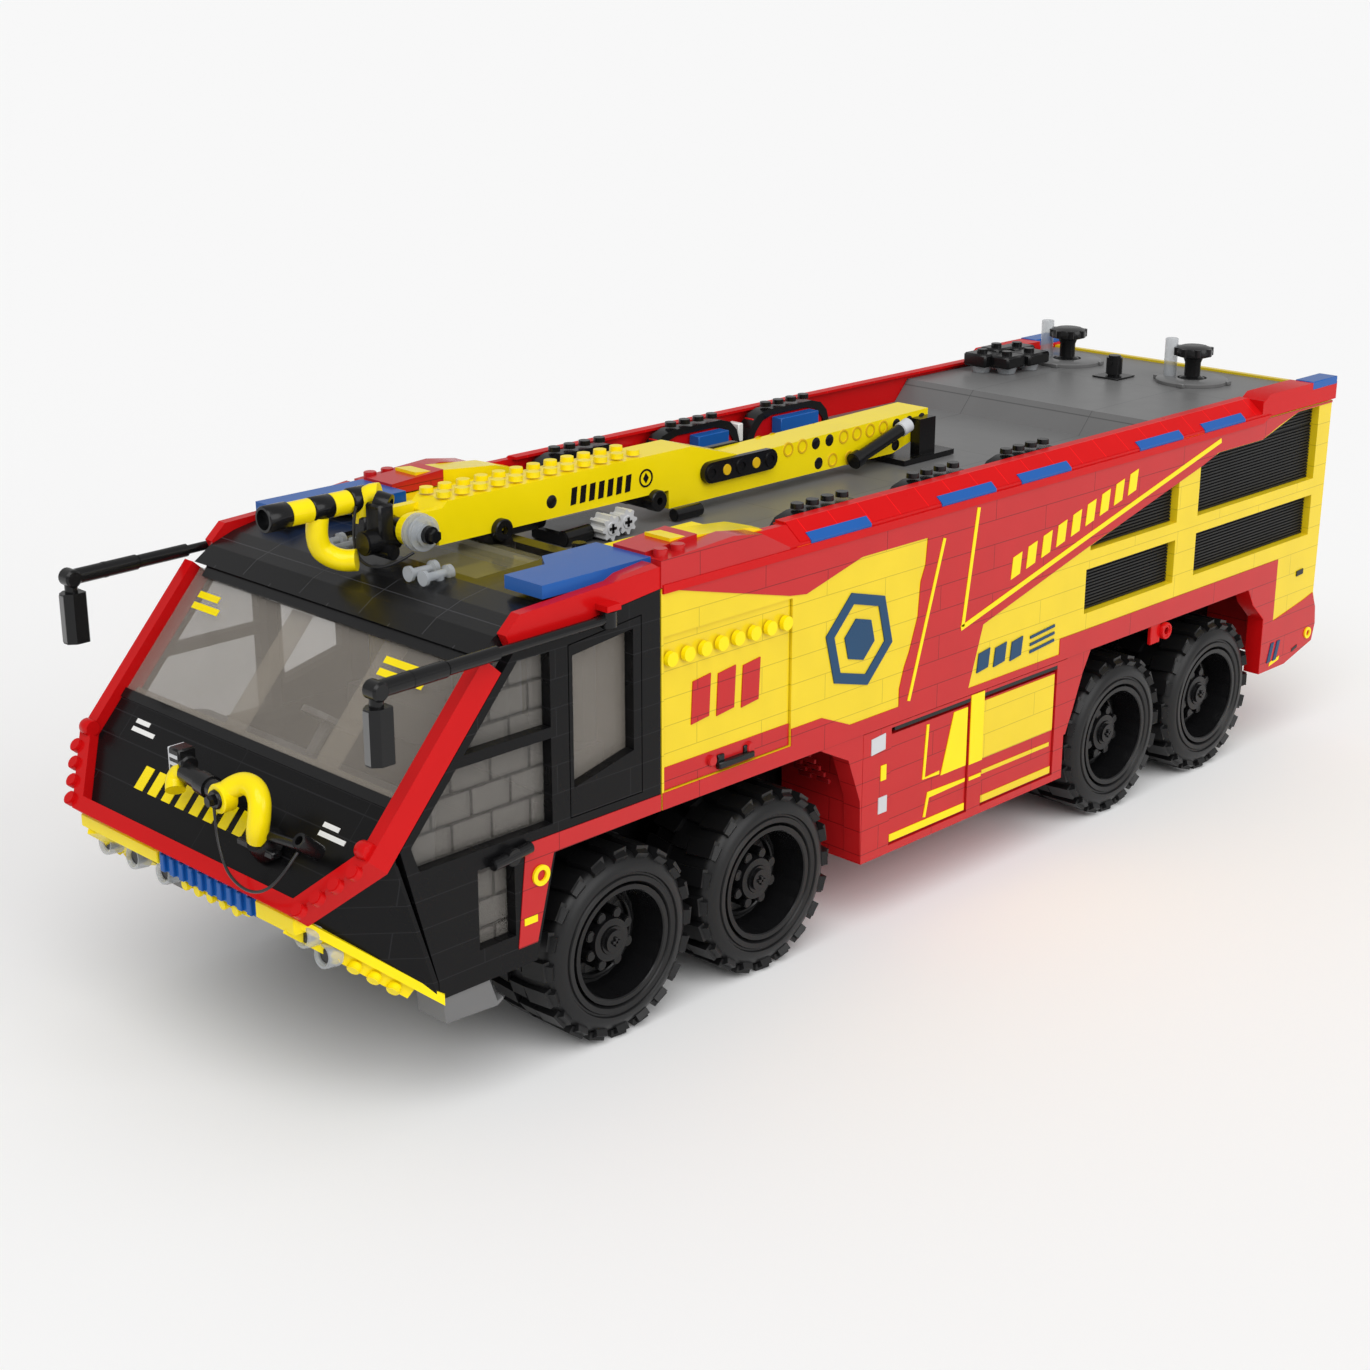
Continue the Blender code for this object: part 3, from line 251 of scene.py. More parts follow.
# black bricks and black roof tiles: joint lines painted lighter than the black (dark above 1), painted highlights along
# the seams
blackBrick = finish("blackBrick", (0.005, 0.005, 0.0055), 0.28, joint={**brick, "Line": 0.00014}, dark=3.2, coat=0,
                    gloss=0.14)
blackTile = finish("blackRoofTile", (0.006, 0.006, 0.0065), 0.24, joint={**plate, "Length": 0.032}, dark=6, coat=0,
                   gloss=0.22)
grilleBlack = finish("grilleBlack", (0.014, 0.014, 0.014), 0.45, coat=0, gloss=0.2)
grey = finish("greyDeck", (0.15, 0.15, 0.15), 0.36, joint=plate, dark=0.6, coat=0)
greyPlain = finish("greyPlastic", (0.14, 0.14, 0.14), 0.3)
greyLight = finish("lightGrey", (0.56, 0.57, 0.59), 0.25)
white = finish("whitePlastic", (0.82, 0.82, 0.8), 0.25)
blue = finish("blueTile", (0.008, 0.095, 0.37), 0.24, coat=0.05, gloss=0.2)
navy = finish("navyPrint", (0.01, 0.055, 0.13), 0.3, coat=0, gloss=0.25)
smoked = finish("smokedGlass", (0.36, 0.325, 0.285), 0.1, alpha=0.3, grain=0, gloss=0.25)
smokedPost = finish("smokedPost", (0.44, 0.385, 0.3), 0.15, alpha=0.45, grain=0, coat=0, gloss=0.2)
smokedBrick = finish("smokedBrick", (0.25, 0.235, 0.215), 0.12, joint=window, dark=0.35, alpha=0.38, grain=0,
                     gloss=0.25)
smokedRoof = finish("smokedRoof", (0.3, 0.27, 0.14), 0.1, alpha=0.36, grain=0, gloss=0.3)
clear = finish("clearPlastic", (0.5, 0.53, 0.56), 0.1, alpha=0.5, coat=0.4, gloss=0.5)
hoseBlack = finish("hosePlastic", (0.016, 0.016, 0.017), 0.35)
rubber = finish("tyreRubber", (0.008, 0.008, 0.0085), 0.36, grain=0.12, coat=0.0, gloss=0.3)
print("finishes ready")


# ---- mesh helpers, all in millimetres from the middle
def spot(point):
    return place(*point)


def addBlock(bm, low, high, bevel=0.25):
    a, b = [min(p) for p in zip(low, high)], [max(p) for p in zip(low, high)]
    size = (Vector(b) - Vector(a)) * mm
    made = bmesh.ops.create_cube(bm, size=1, matrix=Matrix.Translation(spot((Vector(a) + Vector(b)) / 2))
                                 @ Matrix.Diagonal((*size, 1)))
    if bevel:
        edges = list({edge for vert in made["verts"] for edge in vert.link_edges})
        bmesh.ops.bevel(bm, geom=edges, offset=min(bevel * mm, min(size) * 0.3), segments=1, affect="EDGES")


def addRod(bm, start, end, radius, sides=16, tip=None, bevel=0.0):
    start, end = spot(start), spot(end)
    turn = (end - start).to_track_quat("Z", "Y").to_matrix().to_4x4()
    made = bmesh.ops.create_cone(bm, cap_ends=True, segments=sides, radius1=radius * mm,
                                 radius2=(radius if tip is None else tip) * mm, depth=(end - start).length,
                                 matrix=Matrix.Translation((start + end) / 2) @ turn)
    if bevel:
        rims = [edge for edge in {e for v in made["verts"] for e in v.link_edges}
                if any(len(face.verts) > 4 for face in edge.link_faces)]
        bmesh.ops.bevel(bm, geom=rims, offset=bevel * mm, segments=2, affect="EDGES")


def addTurned(bm, profile, centre, axis=(1, 0, 0), sides=32):
    # profile points are (radius, height along the axis), closed back to the first one
    axis = Vector(axis).normalized()
    across = axis.orthogonal().normalized()
    other = axis.cross(across)
    centre = Vector(centre)
    rings = []
    for radius, height in profile:
        base = centre + axis * height
        if radius < 1e-6:
            rings.append([bm.verts.new(spot(base))] * sides)
            continue
        rings.append([bm.verts.new(spot(base + across * radius * math.cos(turn) + other * radius * math.sin(turn)))
                      for turn in (math.tau * step / sides for step in range(sides))])
    pairs = list(zip(rings, rings[1:]))
    if profile[0][0] > 1e-6:
        pairs.append((rings[-1], rings[0]))
    for one, two in pairs:
        for i in range(sides):
            j = (i + 1) % sides
            corners = list(dict.fromkeys((one[i], one[j], two[j], two[i])))
            if len(corners) > 2:
                bm.faces.new(corners)


def joinRings(bm, rings):
    # a closed skin over a row of rings with the same number of points
    count = len(rings[0])
    for one, two in zip(rings, rings[1:]):
        for i in range(count):
            j = (i + 1) % count
            bm.faces.new((one[i], one[j], two[j], two[i]))
    bm.faces.new(rings[0])
    bm.faces.new(rings[-1])


def addTube(bm, points, radius, sides=12):
    points = [Vector(point) for point in points]
    rings, across = [], None
    for index, point in enumerate(points):
        before, after = points[max(index - 1, 0)], points[min(index + 1, len(points) - 1)]
        ahead = (after - before).normalized()
        across = (across - ahead * across.dot(ahead)).normalized() if across else ahead.orthogonal().normalized()
        other = ahead.cross(across)
        size = radius[index] if isinstance(radius, (list, tuple)) else radius
        rings.append([bm.verts.new(spot(point + (across * math.cos(turn) + other * math.sin(turn)) * size))
                      for turn in (math.tau * step / sides for step in range(sides))])
    joinRings(bm, rings)


def addPrism(bm, outline, low, high, axis="x"):
    # outline on the side plane (y, z), the front plane (x, z) or the roof plane (x, y)
    def corner(u, v, depth):
        return spot({"x": (depth, u, v), "y": (u, depth, v), "z": (u, v, depth)}[axis])

    joinRings(bm, [[bm.verts.new(corner(u, v, depth)) for u, v in outline] for depth in (low, high)])


def smoothRoute(points, steps):
    route = []
    ends = [points[0], *points, points[-1]]
    for a, b, c, d in zip(ends, ends[1:], ends[2:], ends[3:]):
        a, b, c, d = Vector(a), Vector(b), Vector(c), Vector(d)
        for i in range(steps):
            t = i / steps
            route.append(0.5 * (2 * b + (c - a) * t + (2 * a - 5 * b + 4 * c - d) * t ** 2
                                + (3 * b - a - 3 * c + d) * t ** 3))
    route.append(Vector(points[-1]))
    return route


def stroke(points, width):
    # outline of a line of that width through the points, for a painted stripe
    left, right = [], []
    for index, point in enumerate(points):
        before, after = Vector(points[max(index - 1, 0)]), Vector(points[min(index + 1, len(points) - 1)])
        along = (after - before).normalized()
        off = Vector((-along.y, along.x)) * width / 2
        if 0 < index < len(points) - 1:
            bend = (Vector(point) - before).normalized().dot(along)
            off /= max(bend, 0.4)
        left.append(tuple(Vector(point) + off))
        right.append(tuple(Vector(point) - off))
    return left + right[::-1]


def makePiece(name, bm, material, body, replaced=(), angle=38):
    bmesh.ops.recalc_face_normals(bm, faces=bm.faces)
    mesh = bpy.data.meshes.new(name)
    bm.to_mesh(mesh)
    bm.free()
    mesh.shade_smooth()
    mesh.set_sharp_from_angle(angle=math.radians(angle))
    mesh.materials.clear()
    mesh.materials.append(material)
    made = bpy.data.objects.new(name, mesh)
    scene.collection.objects.link(made)
    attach(made, body)
    if replaced:
        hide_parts(*replaced)
    return made


# ---- repeating shapes
def treeWith(name, sockets):
    tree = bpy.data.node_groups.new(name, "GeometryNodeTree")
    for label, kind in sockets:
        tree.interface.new_socket(label, in_out="INPUT", socket_type="NodeSocket" + kind)
    tree.interface.new_socket("Geometry", in_out="OUTPUT", socket_type="NodeSocketGeometry")
    return tree, tree.nodes.new("NodeGroupInput"), tree.nodes.new("NodeGroupOutput")


def feed(tree, node, sources):
    for label, source in sources.items():
        tree.links.new(source, node.inputs[label])


def endTree(tree, given, out, geometry):
    solid, paint = tree.nodes.new("GeometryNodeRealizeInstances"), tree.nodes.new("GeometryNodeSetMaterial")
    tree.links.new(geometry, solid.inputs["Geometry"])
    tree.links.new(solid.outputs["Geometry"], paint.inputs["Geometry"])
    tree.links.new(given.outputs["Finish"], paint.inputs["Material"])
    tree.links.new(paint.outputs["Geometry"], out.inputs["Geometry"])
    return tree


studLook = {"sides": 16, "rim": 0.94}


def studTree():
    tree, given, out = treeWith("studRow", (("Count", "Int"), ("Start", "Vector"), ("Step", "Vector"),
                                            ("Radius", "Float"), ("Height", "Float"), ("Turn", "Vector"),
                                            ("Finish", "Material")))
    put = tree.nodes.new
    line = put("GeometryNodeMeshLine")
    feed(tree, line, {"Count": given.outputs["Count"], "Start Location": given.outputs["Start"],
                      "Offset": given.outputs["Step"]})
    cone = put("GeometryNodeMeshCone")
    cone.inputs["Vertices"].default_value = studLook["sides"]
    top = mathsFor(tree)("MULTIPLY", given.outputs["Radius"], studLook["rim"])
    feed(tree, cone, {"Radius Top": top, "Radius Bottom": given.outputs["Radius"], "Depth": given.outputs["Height"]})
    many = put("GeometryNodeInstanceOnPoints")
    feed(tree, many, {"Points": line.outputs["Mesh"], "Instance": cone.outputs["Mesh"],
                      "Rotation": given.outputs["Turn"]})
    return endTree(tree, given, out, many.outputs["Instances"])


def slatTree():
    tree, given, out = treeWith("slatStack", (("Count", "Int"), ("Start", "Vector"), ("Rise", "Float"),
                                              ("Length", "Float"), ("Full", "Int"), ("Shrink", "Float"),
                                              ("Size", "Vector"), ("Finish", "Material")))
    put, link = tree.nodes.new, tree.links.new
    line, rise = put("GeometryNodeMeshLine"), put("ShaderNodeCombineXYZ")
    link(given.outputs["Rise"], rise.inputs["Z"])
    feed(tree, line, {"Count": given.outputs["Count"], "Start Location": given.outputs["Start"],
                      "Offset": rise.outputs[0]})
    bar, shifted = put("GeometryNodeMeshCube"), put("GeometryNodeTransform")
    link(given.outputs["Size"], bar.inputs["Size"])
    link(bar.outputs["Mesh"], shifted.inputs["Geometry"])
    shifted.inputs["Translation"].default_value = (0, -0.5, 0)
    maths = mathsFor(tree)
    past = maths("MAXIMUM", maths("SUBTRACT", put("GeometryNodeInputIndex").outputs[0], given.outputs["Full"]), 0)
    length = maths("SUBTRACT", given.outputs["Length"], maths("MULTIPLY", past, given.outputs["Shrink"]))
    size = put("ShaderNodeCombineXYZ")
    size.inputs["X"].default_value = size.inputs["Z"].default_value = 1
    link(length, size.inputs["Y"])
    many = put("GeometryNodeInstanceOnPoints")
    feed(tree, many, {"Points": line.outputs["Mesh"], "Instance": shifted.outputs["Geometry"],
                      "Scale": size.outputs[0]})
    return endTree(tree, given, out, many.outputs["Instances"])


def ringTree():
    tree, given, out = treeWith("blockRing", (("Count", "Int"), ("Centre", "Vector"), ("Radius", "Float"),
                                              ("Size", "Vector"), ("Phase", "Float"), ("Slant", "Vector"),
                                              ("Finish", "Material")))
    put, link = tree.nodes.new, tree.links.new
    points, bar = put("GeometryNodePoints"), put("GeometryNodeMeshCube")
    leaned, raised, moved = (put("GeometryNodeTransform") for _ in range(3))
    link(given.outputs["Count"], points.inputs["Count"])
    link(given.outputs["Size"], bar.inputs["Size"])
    feed(tree, leaned, {"Geometry": bar.outputs["Mesh"], "Rotation": given.outputs["Slant"]})
    up = put("ShaderNodeCombineXYZ")
    link(given.outputs["Radius"], up.inputs["Z"])
    feed(tree, raised, {"Geometry": leaned.outputs["Geometry"], "Translation": up.outputs[0]})
    maths, turn = mathsFor(tree), put("ShaderNodeCombineXYZ")
    share = maths("DIVIDE", put("GeometryNodeInputIndex").outputs[0], given.outputs["Count"])
    link(maths("ADD", maths("MULTIPLY", share, math.tau), given.outputs["Phase"]), turn.inputs["X"])
    many = put("GeometryNodeInstanceOnPoints")
    feed(tree, many, {"Points": points.outputs[0], "Instance": raised.outputs["Geometry"],
                      "Rotation": turn.outputs[0]})
    feed(tree, moved, {"Geometry": many.outputs["Instances"], "Translation": given.outputs["Centre"]})
    return endTree(tree, given, out, moved.outputs["Geometry"])


trees = {"studs": studTree(), "slats": slatTree(), "ring": ringTree()}


def addRepeat(bm, kind, material, **values):
    tree = trees[kind]
    holder = bpy.data.objects.new("holder", bpy.data.meshes.new("holder"))
    scene.collection.objects.link(holder)
    modifier = holder.modifiers.new("repeat", "NODES")
    modifier.node_group = tree
    for socket in tree.interface.items_tree:
        if socket.in_out == "INPUT":
            modifier[socket.identifier] = material if socket.name == "Finish" else values[socket.name]
    bpy.context.view_layer.update()
    mesh = bpy.data.meshes.new_from_object(holder.evaluated_get(bpy.context.evaluated_depsgraph_get()))
    bm.from_mesh(mesh)
    bpy.data.objects.remove(holder)
    bpy.data.meshes.remove(mesh)


def addStuds(bm, material, start, count, radius, height, turn=(0, 0, 0)):
    # a row along the truck; start is the middle of the first stud
    addRepeat(bm, "studs", material, Count=count, Start=spot(start), Step=(0, stud * mm, 0),
              Radius=radius * mm, Height=height * mm, Turn=turn)


def addSlats(bm, material, start, count, rise, length, full, shrink, size):
    addRepeat(bm, "slats", material, Count=count, Start=spot(start), Rise=rise * mm, Length=length * mm, Full=full,
              Shrink=shrink * mm, Size=(size[0] * mm, 1.0, size[1] * mm))


def addRing(bm, material, centre, count, radius, size, phase=0.0, slant=(0, 0, 0)):
    addRepeat(bm, "ring", material, Count=count, Centre=spot(centre), Radius=radius * mm, Size=Vector(size) * mm,
              Phase=phase, Slant=slant)


# ---- hoses: thin hoses that hang from each monitor
hoseLook = {
    "diameter": 1.0,
    "roof": [(-5.15, -202, 178.4), (-5.3, -202.6, 175.2), (-5.6, -203, 170.4), (-5.4, -203, 165.4),
             (-4, -202.8, 161.6), (-0.8, -202.2, 159.6), (3.2, -201, 159.1), (6.8, -198.6, 160),
             (9.8, -195.2, 162), (11.6, -191.9, 164)],
    "bumper": [(21.4, -281, 102.1), (22.2, -281.4, 98.4), (24, -282.2, 93.6), (27, -283.2, 89.4),
               (31.4, -284.6, 86), (37, -285.6, 84), (43.6, -286.2, 83.4), (50, -286, 84.6),
               (55.4, -285, 87.8), (58.8, -282.6, 92.4), (59.5, -277.7, 97.7)]}
for part in ("roof", "bumper"):
    route = smoothRoute(hoseLook[part], 3)
    bm = bmesh.new()
    addTube(bm, route, hoseLook["diameter"] / 2, 10)
    hose = makePiece(part + "HoseLine", bm, hoseBlack, part + "_monitor", (part + "_monitor_hose",))
    path = [spot(point) for point in route]
    length = sum((b - a).length for a, b in zip(path, path[1:]))
print("hoses ready")


# ---- wheels
wheelLook = {"lugs": 20, "lugHeight": 2.2, "lugSink": 0.8, "lugWide": 6.4, "lobes": 8, "lobeRadius": 9.25,
             "bore": 21.75, "hubIn": 7.2, "rimIn": 1.2}
for number in range(1, 5):
    body = f"wheelset_{number}"
    for side, sign in sides:
        low, high = boxOf(f"tyre_{number}_{side}")
        centre = (low + high) / 2
        halfWidth, radius = (high.x - low.x) / 2, (high.z - low.z) / 2
        base, bore = radius - wheelLook["lugHeight"], wheelLook["bore"]
        bm = bmesh.new()
        profile = [(bore, halfWidth - 1.5), (bore + 0.8, halfWidth - 0.2), (bore + 2.6, halfWidth),
                   (bore + 3.0, halfWidth - 0.7), (bore + 3.6, halfWidth - 0.7), (bore + 4.0, halfWidth),
                   (27.6, halfWidth - 0.1), (base - 2.2, halfWidth - 1.4), (base - 0.7, halfWidth - 3.0),
                   (base, halfWidth - 5.0)]
        profile += [(r, -h) for r, h in reversed(profile)]
        addTurned(bm, profile, centre, sides=64)
        lugDepth = wheelLook["lugHeight"] + 0.6
        halfStep = math.pi / wheelLook["lugs"]
        for row, (across, long, lean) in enumerate(((halfWidth - 7.6, 11, 0.12), (-halfWidth + 7.6, 11, -0.12),
                                                    (0, 7, 0))):
            addRing(bm, rubber, centre + Vector((across, 0, 0)), wheelLook["lugs"],
                    base + lugDepth / 2 - wheelLook["lugSink"],
                    (long, wheelLook["lugWide"] - (row == 2) * 1.2, lugDepth), (row % 2) * halfStep, (0, 0, lean))
        # shoulder lugs reach down the side wall
        for across in (halfWidth - 2.6, -halfWidth + 2.6):
            addRing(bm, rubber, centre + Vector((across, 0, 0)), wheelLook["lugs"], base - 0.9, (3.2, 5.2, 3.6),
                    (across < 0) * halfStep, (0, math.copysign(0.55, across), 0))
        makePiece(f"tyreTread_{number}_{side}", bm, rubber, body, (f"tyre_{number}_{side}",), 30)
        # hub with its ring of lobes, the cross axle and the raised rim lip
        bm = bmesh.new()
        face = sign * (high.x if sign > 0 else -low.x)
        hubAt = Vector((face - sign * wheelLook["hubIn"], centre.y, centre.z))
        outward = (sign, 0, 0)
        addTurned(bm, [(0, 1.6), (2.0, 1.6), (2.2, 1.2), (3.0, 1.2), (3.2, 2.0), (5.0, 2.0), (5.2, 1.4), (7.6, 1.2),
                       (8.6, -1.2), (8.6, -6.5), (0, -6.5)], hubAt, outward, 32)
        for step in range(wheelLook["lobes"]):
            turn = math.tau * (step + 0.5) / wheelLook["lobes"]
            off = Vector((0, math.cos(turn), math.sin(turn))) * wheelLook["lobeRadius"]
            addRod(bm, hubAt + off - Vector(outward) * 7.4, hubAt + off + Vector(outward) * 0.4, 2.0, 12, bevel=0.3)
        for y, z in ((3.4, 1.1), (1.1, 3.4)):
            addBlock(bm, hubAt + Vector((0, -y / 2, -z / 2)), hubAt + Vector((sign * 4.0, y / 2, z / 2)), 0.15)
        rim = Vector((face - sign * wheelLook["rimIn"], centre.y, centre.z))
        addTurned(bm, [(19.2, 0.5), (19.6, 0.9), (21.3, 0.9), (21.3, -0.6), (19.2, -0.6)], rim, outward, 48)
        addTurned(bm, [(14.4, -11.2), (14.9, -10.8), (15.6, -10.8), (16.1, -11.4), (16.1, -12.4), (14.4, -12.4)], rim,
                  outward, 48)
        makePiece(f"wheelHub_{number}_{side}", bm, black, body)
print("wheels ready")


# ---- side colours
sidePaint = {
    "thick": 0.3, "around": 0.08, "footTop": 93.5,
    "dashes": 9, "dashAt": (43, 120.4), "dashStep": (9.6, 2.46),
    "emblem": ((19, 14.5), (8.5, 0)), "emblemAt": (-46, 116.5),
    "redZone": [(-145.4, 155.9), (280.3, 155.9), (280.3, 155), (251, 155), (235, 151), (222, 147), (187, 147),
                (176, 143.5), (170, 142), (95, 123.7), (27, 106), (19.2, 82), (78.3, 82), (78.3, 88.5), (244.5, 88.5),
                (244.5, 59.5), (270, 64), (278.5, 66), (282, 58.4), (283.1, 50.2), (281.1, 42.4), (257.6, 36.1),
                (236.2, 36.1), (236.2, 62.5), (226.2, 71.1), (221.1, 79.1), (-145.4, 79.1), (-145.4, 85.1),
                (-81.8, 85.1), (-81.8, 91.5), (-65.5, 91.5), (-50, 85), (-22.5, 85), (-22.5, 92), (-20, 100),
                (-17.5, 105), (-13, 118), (-12, 131), (-9.5, 137), (-8.6, 147), (-45.5, 147), (-75, 139.5),
                (-83.5, 140.6)],
    "stripes": [([(21, 153), (14, 108)], 1.8), ([(13, 107.5), (95, 128.5), (188, 152)], 2.0),
                ([(-17, 86), (1, 145)], 1.6)]}


def addPaint(bm, outline, sign, x, lift=0.0):
    # a thin coloured skin on a side face
    addPrism(bm, outline, sign * (x - 0.15 + lift), sign * (x + sidePaint["thick"] + lift))


for side, sign in sides:
    sideX = reach(f"body_side_{side}")
    bm = bmesh.new()
    addPaint(bm, sidePaint["redZone"], sign, sideX)
    makePiece(f"redPanels_{side}", bm, red, "truck")
    # yellow stripes and a plain dashed band in place of lettering
    bm = bmesh.new()
    for points, width in sidePaint["stripes"]:
        addPaint(bm, stroke(points, width), sign, sideX, 0.2)
    for index in range(sidePaint["dashes"]):
        y, z = (at + index * step for at, step in zip(sidePaint["dashAt"], sidePaint["dashStep"]))
        addPaint(bm, [(y, z), (y + 5.6, z + 1.43), (y + 6.6, z + 10.0), (y + 1.0, z + 8.6)], sign, sideX, 0.2)
    addPaint(bm, [(244, 38), (252, 39.5), (252.6, 41.2), (244.6, 39.7)], sign, sideX, 0.2)
    makePiece(f"yellowMarks_{side}", bm, yellowPlain, "truck")
    # plain navy emblem: a hexagon ring with a smaller one inside
    bm = bmesh.new()
    for outer, inner in sidePaint["emblem"]:
        addTurned(bm, rectangle(inner, -0.1, outer, 0.5), (sign * sideX, *sidePaint["emblemAt"]), (sign, 0, 0), 6)
    for y in (24, 34.5, 45):
        addPaint(bm, [(y, 87), (y + 7, 88), (y + 8, 95.6), (y + 1, 94.6)], sign, sideX, 0.2)
    for z in (87.2, 90.2, 93.2):
        addPaint(bm, [(58, z), (74, z + 1.4), (74, z + 2.5), (58, z + 1.1)], sign, sideX, 0.2)
    for y, long in ((241.6, 4), (246.8, 7)):
        addPaint(bm, [(y, 40), (y + 2.6, 40.3), (y + 5.2, 49), (y + 2.6, 49)], sign, sideX, 0.4)
    makePiece(f"navyMarks_{side}", bm, navy, "truck")
    # locker flap: red foot, stud row, black catch and a plain red emblem
    body = f"side_locker_{side}"
    flapX = reach(body)
    flapLow, flapHigh = boxOf(body)
    bm = bmesh.new()
    around = sidePaint["around"]
    addPrism(bm, rectangle(flapLow.y - around, flapLow.z - around, flapHigh.y + around, sidePaint["footTop"]),
             sign * (flapX - 2.2), sign * (flapX + sidePaint["thick"]))
    for index in range(3):
        y = -131 + index * 12.2
        addPaint(bm, [(y, 105.5), (y + 8.6, 106.6), (y + 9.4, 121.6), (y + 0.8, 120.5)], sign, flapX, 0.1)
    for y in (-121.5, -102.5):
        addRod(bm, (sign * (flapX - 0.6), y, 90.2), (sign * (flapX + 1.6), y, 90.2), 2.0, 14, bevel=0.3)
    makePiece(f"lockerRed_{side}", bm, red, body)
    bm = bmesh.new()
    addStuds(bm, yellowPlain, (sign * (flapX + 0.7), -141.6, 131.4), 8, 2.7, 1.7, (0, sign * math.pi / 2, 0))
    makePiece(f"lockerStuds_{side}", bm, yellowPlain, body)
    bm = bmesh.new()
    addBlock(bm, (sign * (flapX - 0.3), -119, 86.6), (sign * (flapX + 2.4), -101.5, 89), 0.4)
    for y in (-117, -104):
        addBlock(bm, (sign * (flapX - 0.3), y - 1.6, 86.2), (sign * (flapX + 1.2), y + 1.6, 91.4), 0.3)
    makePiece(f"lockerCatch_{side}", bm, black, body)
    # skirt: yellow fields and lines on the flaps and between them
    skirtX, frontX = reach(f"skirt_{side}"), reach(f"front_flap_{side}")
    bm = bmesh.new()
    addPaint(bm, [(12.3, 73.9), (5.3, 50), (20.7, 50), (20.7, 73.9)], sign, frontX)
    addPaint(bm, stroke([(-3.5, 73), (-5.2, 51.5), (4.3, 51.5)], 1.4), sign, frontX)
    addPaint(bm, stroke([(-4, 35.4), (-2, 44), (20.5, 44)], 1.4), sign, frontX)
    addPaint(bm, rectangle(-24.8, 31.4, 20.6, 34.3), sign, frontX)
    makePiece(f"frontFlapMarks_{side}", bm, yellowPlain, f"front_flap_{side}")
    bm = bmesh.new()
    addPaint(bm, rectangle(31.1, 50, 77, 73.9), sign, frontX)
    addPaint(bm, stroke([(31.1, 44.3), (75.5, 44.3)], 1.6), sign, frontX)
    addPaint(bm, rectangle(31.2, 31.4, 77, 34.3), sign, frontX)
    makePiece(f"rearFlapMarks_{side}", bm, yellow, f"rear_flap_{side}")
    bm = bmesh.new()
    addPaint(bm, rectangle(21.8, 50, 30, 78.5), sign, skirtX)
    addPaint(bm, stroke([(22.2, 44), (29.6, 44)], 1.4), sign, skirtX)
    addPaint(bm, rectangle(-31.7, 58, -28.6, 64), sign, skirtX)
    makePiece(f"skirtMarks_{side}", bm, yellowPlain, "truck")
    bm = bmesh.new()
    addPaint(bm, rectangle(-32.7, 45, -27.8, 51.5), sign, skirtX)
    addPaint(bm, [(-37.5, 69.5), (-29.5, 70.2), (-29.5, 76.5), (-37.5, 75.8)], sign, skirtX)
    makePiece(f"skirtPlates_{side}", bm, greyLight, "truck")
    # stepped gussets at the wheel arches
    bm = bmesh.new()
    for outline in ([(-66, 79.2), (-64, 78), (-50, 71), (-43, 53), (-42, 28), (-41.9, 79.2)],
                    [(84.8, 46), (86, 46), (90, 55), (96, 70), (101, 79.2), (84.8, 79.2)]):
        addPrism(bm, outline, sign * (skirtX - 8), sign * (skirtX - 0.1))
    makePiece(f"archGussets_{side}", bm, red, "truck")
    # sloping arch walls with a grid of small hollows, and the mud flap behind the last wheel
    bm = bmesh.new()
    # the hollows are small blocks in a darker red: painted shade in the recesses
    for top, bottom, shift in (((-62, 78.6), (-45.6, 58.5), -2.4), ((92.5, 60), (100.4, 78.6), 2.6)):
        run = Vector((0, bottom[0] - top[0], bottom[1] - top[1]))
        for row in range(2):
            for column in range(6):
                at = Vector((sign * (skirtX - 12.5 - row * 9), top[0],
                             top[1])) + run * (column + 0.5) / 6 + Vector((0, shift, 0))
                addBlock(bm, at - Vector((3.1, 0.6, 0.9)), at + Vector((3.1, 0.6, 0.9)), 0.2)
    makePiece(f"archHollows_{side}", bm, redShaded, "truck")
    bm = bmesh.new()
    addPrism(bm, [(221.2, 79.1), (226.2, 71.1), (236.2, 62.5), (236.2, 36.1), (235.7, 36.1), (235.7, 62.2),
                  (225.8, 70.8), (220.7, 79.1)],
             sign * (sideX - 7.5), sign * (sideX + sidePaint["thick"]))
    makePiece(f"archSkin_{side}", bm, redPlain, "truck")
    # small marks at the tail and the dark line under the skirt's top
    bm = bmesh.new()
    addPaint(bm, [(262, 77), (267.5, 77.4), (267.5, 79.8), (262, 79.4)], sign, sideX, 0.2)
    addPaint(bm, [(263.4, 40.6), (268, 41.8), (268, 43.2), (263.4, 42)], sign, sideX, 0.2)
    addPaint(bm, rectangle(-24, 76, 78, 78), sign, skirtX - 0.35)
    makePiece(f"tailMarks_{side}", bm, black, "truck")
    bm = bmesh.new()
    addTurned(bm, [(1.5, -0.2), (1.5, 0.8), (2.7, 0.8), (2.7, -0.2)], (sign * (sideX + 0.2), 276.4, 47), (sign, 0, 0),
              20)
    makePiece(f"tailRing_{side}", bm, yellowPlain, "truck")
    # fuel cap in the arch between the rear wheels
    bm = bmesh.new()
    addBlock(bm, (sign * (sideX - 2), 145, 70.5), (sign * (sideX - 0.2), 152, 79.3), 0.3)
    addTurned(bm, [(1.6, -1.0), (1.6, 1.4), (2.4, 1.4), (2.6, 1.8), (3.4, 1.8), (3.7, 1.2), (3.7, -1.0)],
              (sign * (sideX - 0.4), 155, 75), (sign, 0, 0), 24)
    makePiece(f"fuelCap_{side}", bm, redPlain, "truck")
print("side colours ready")


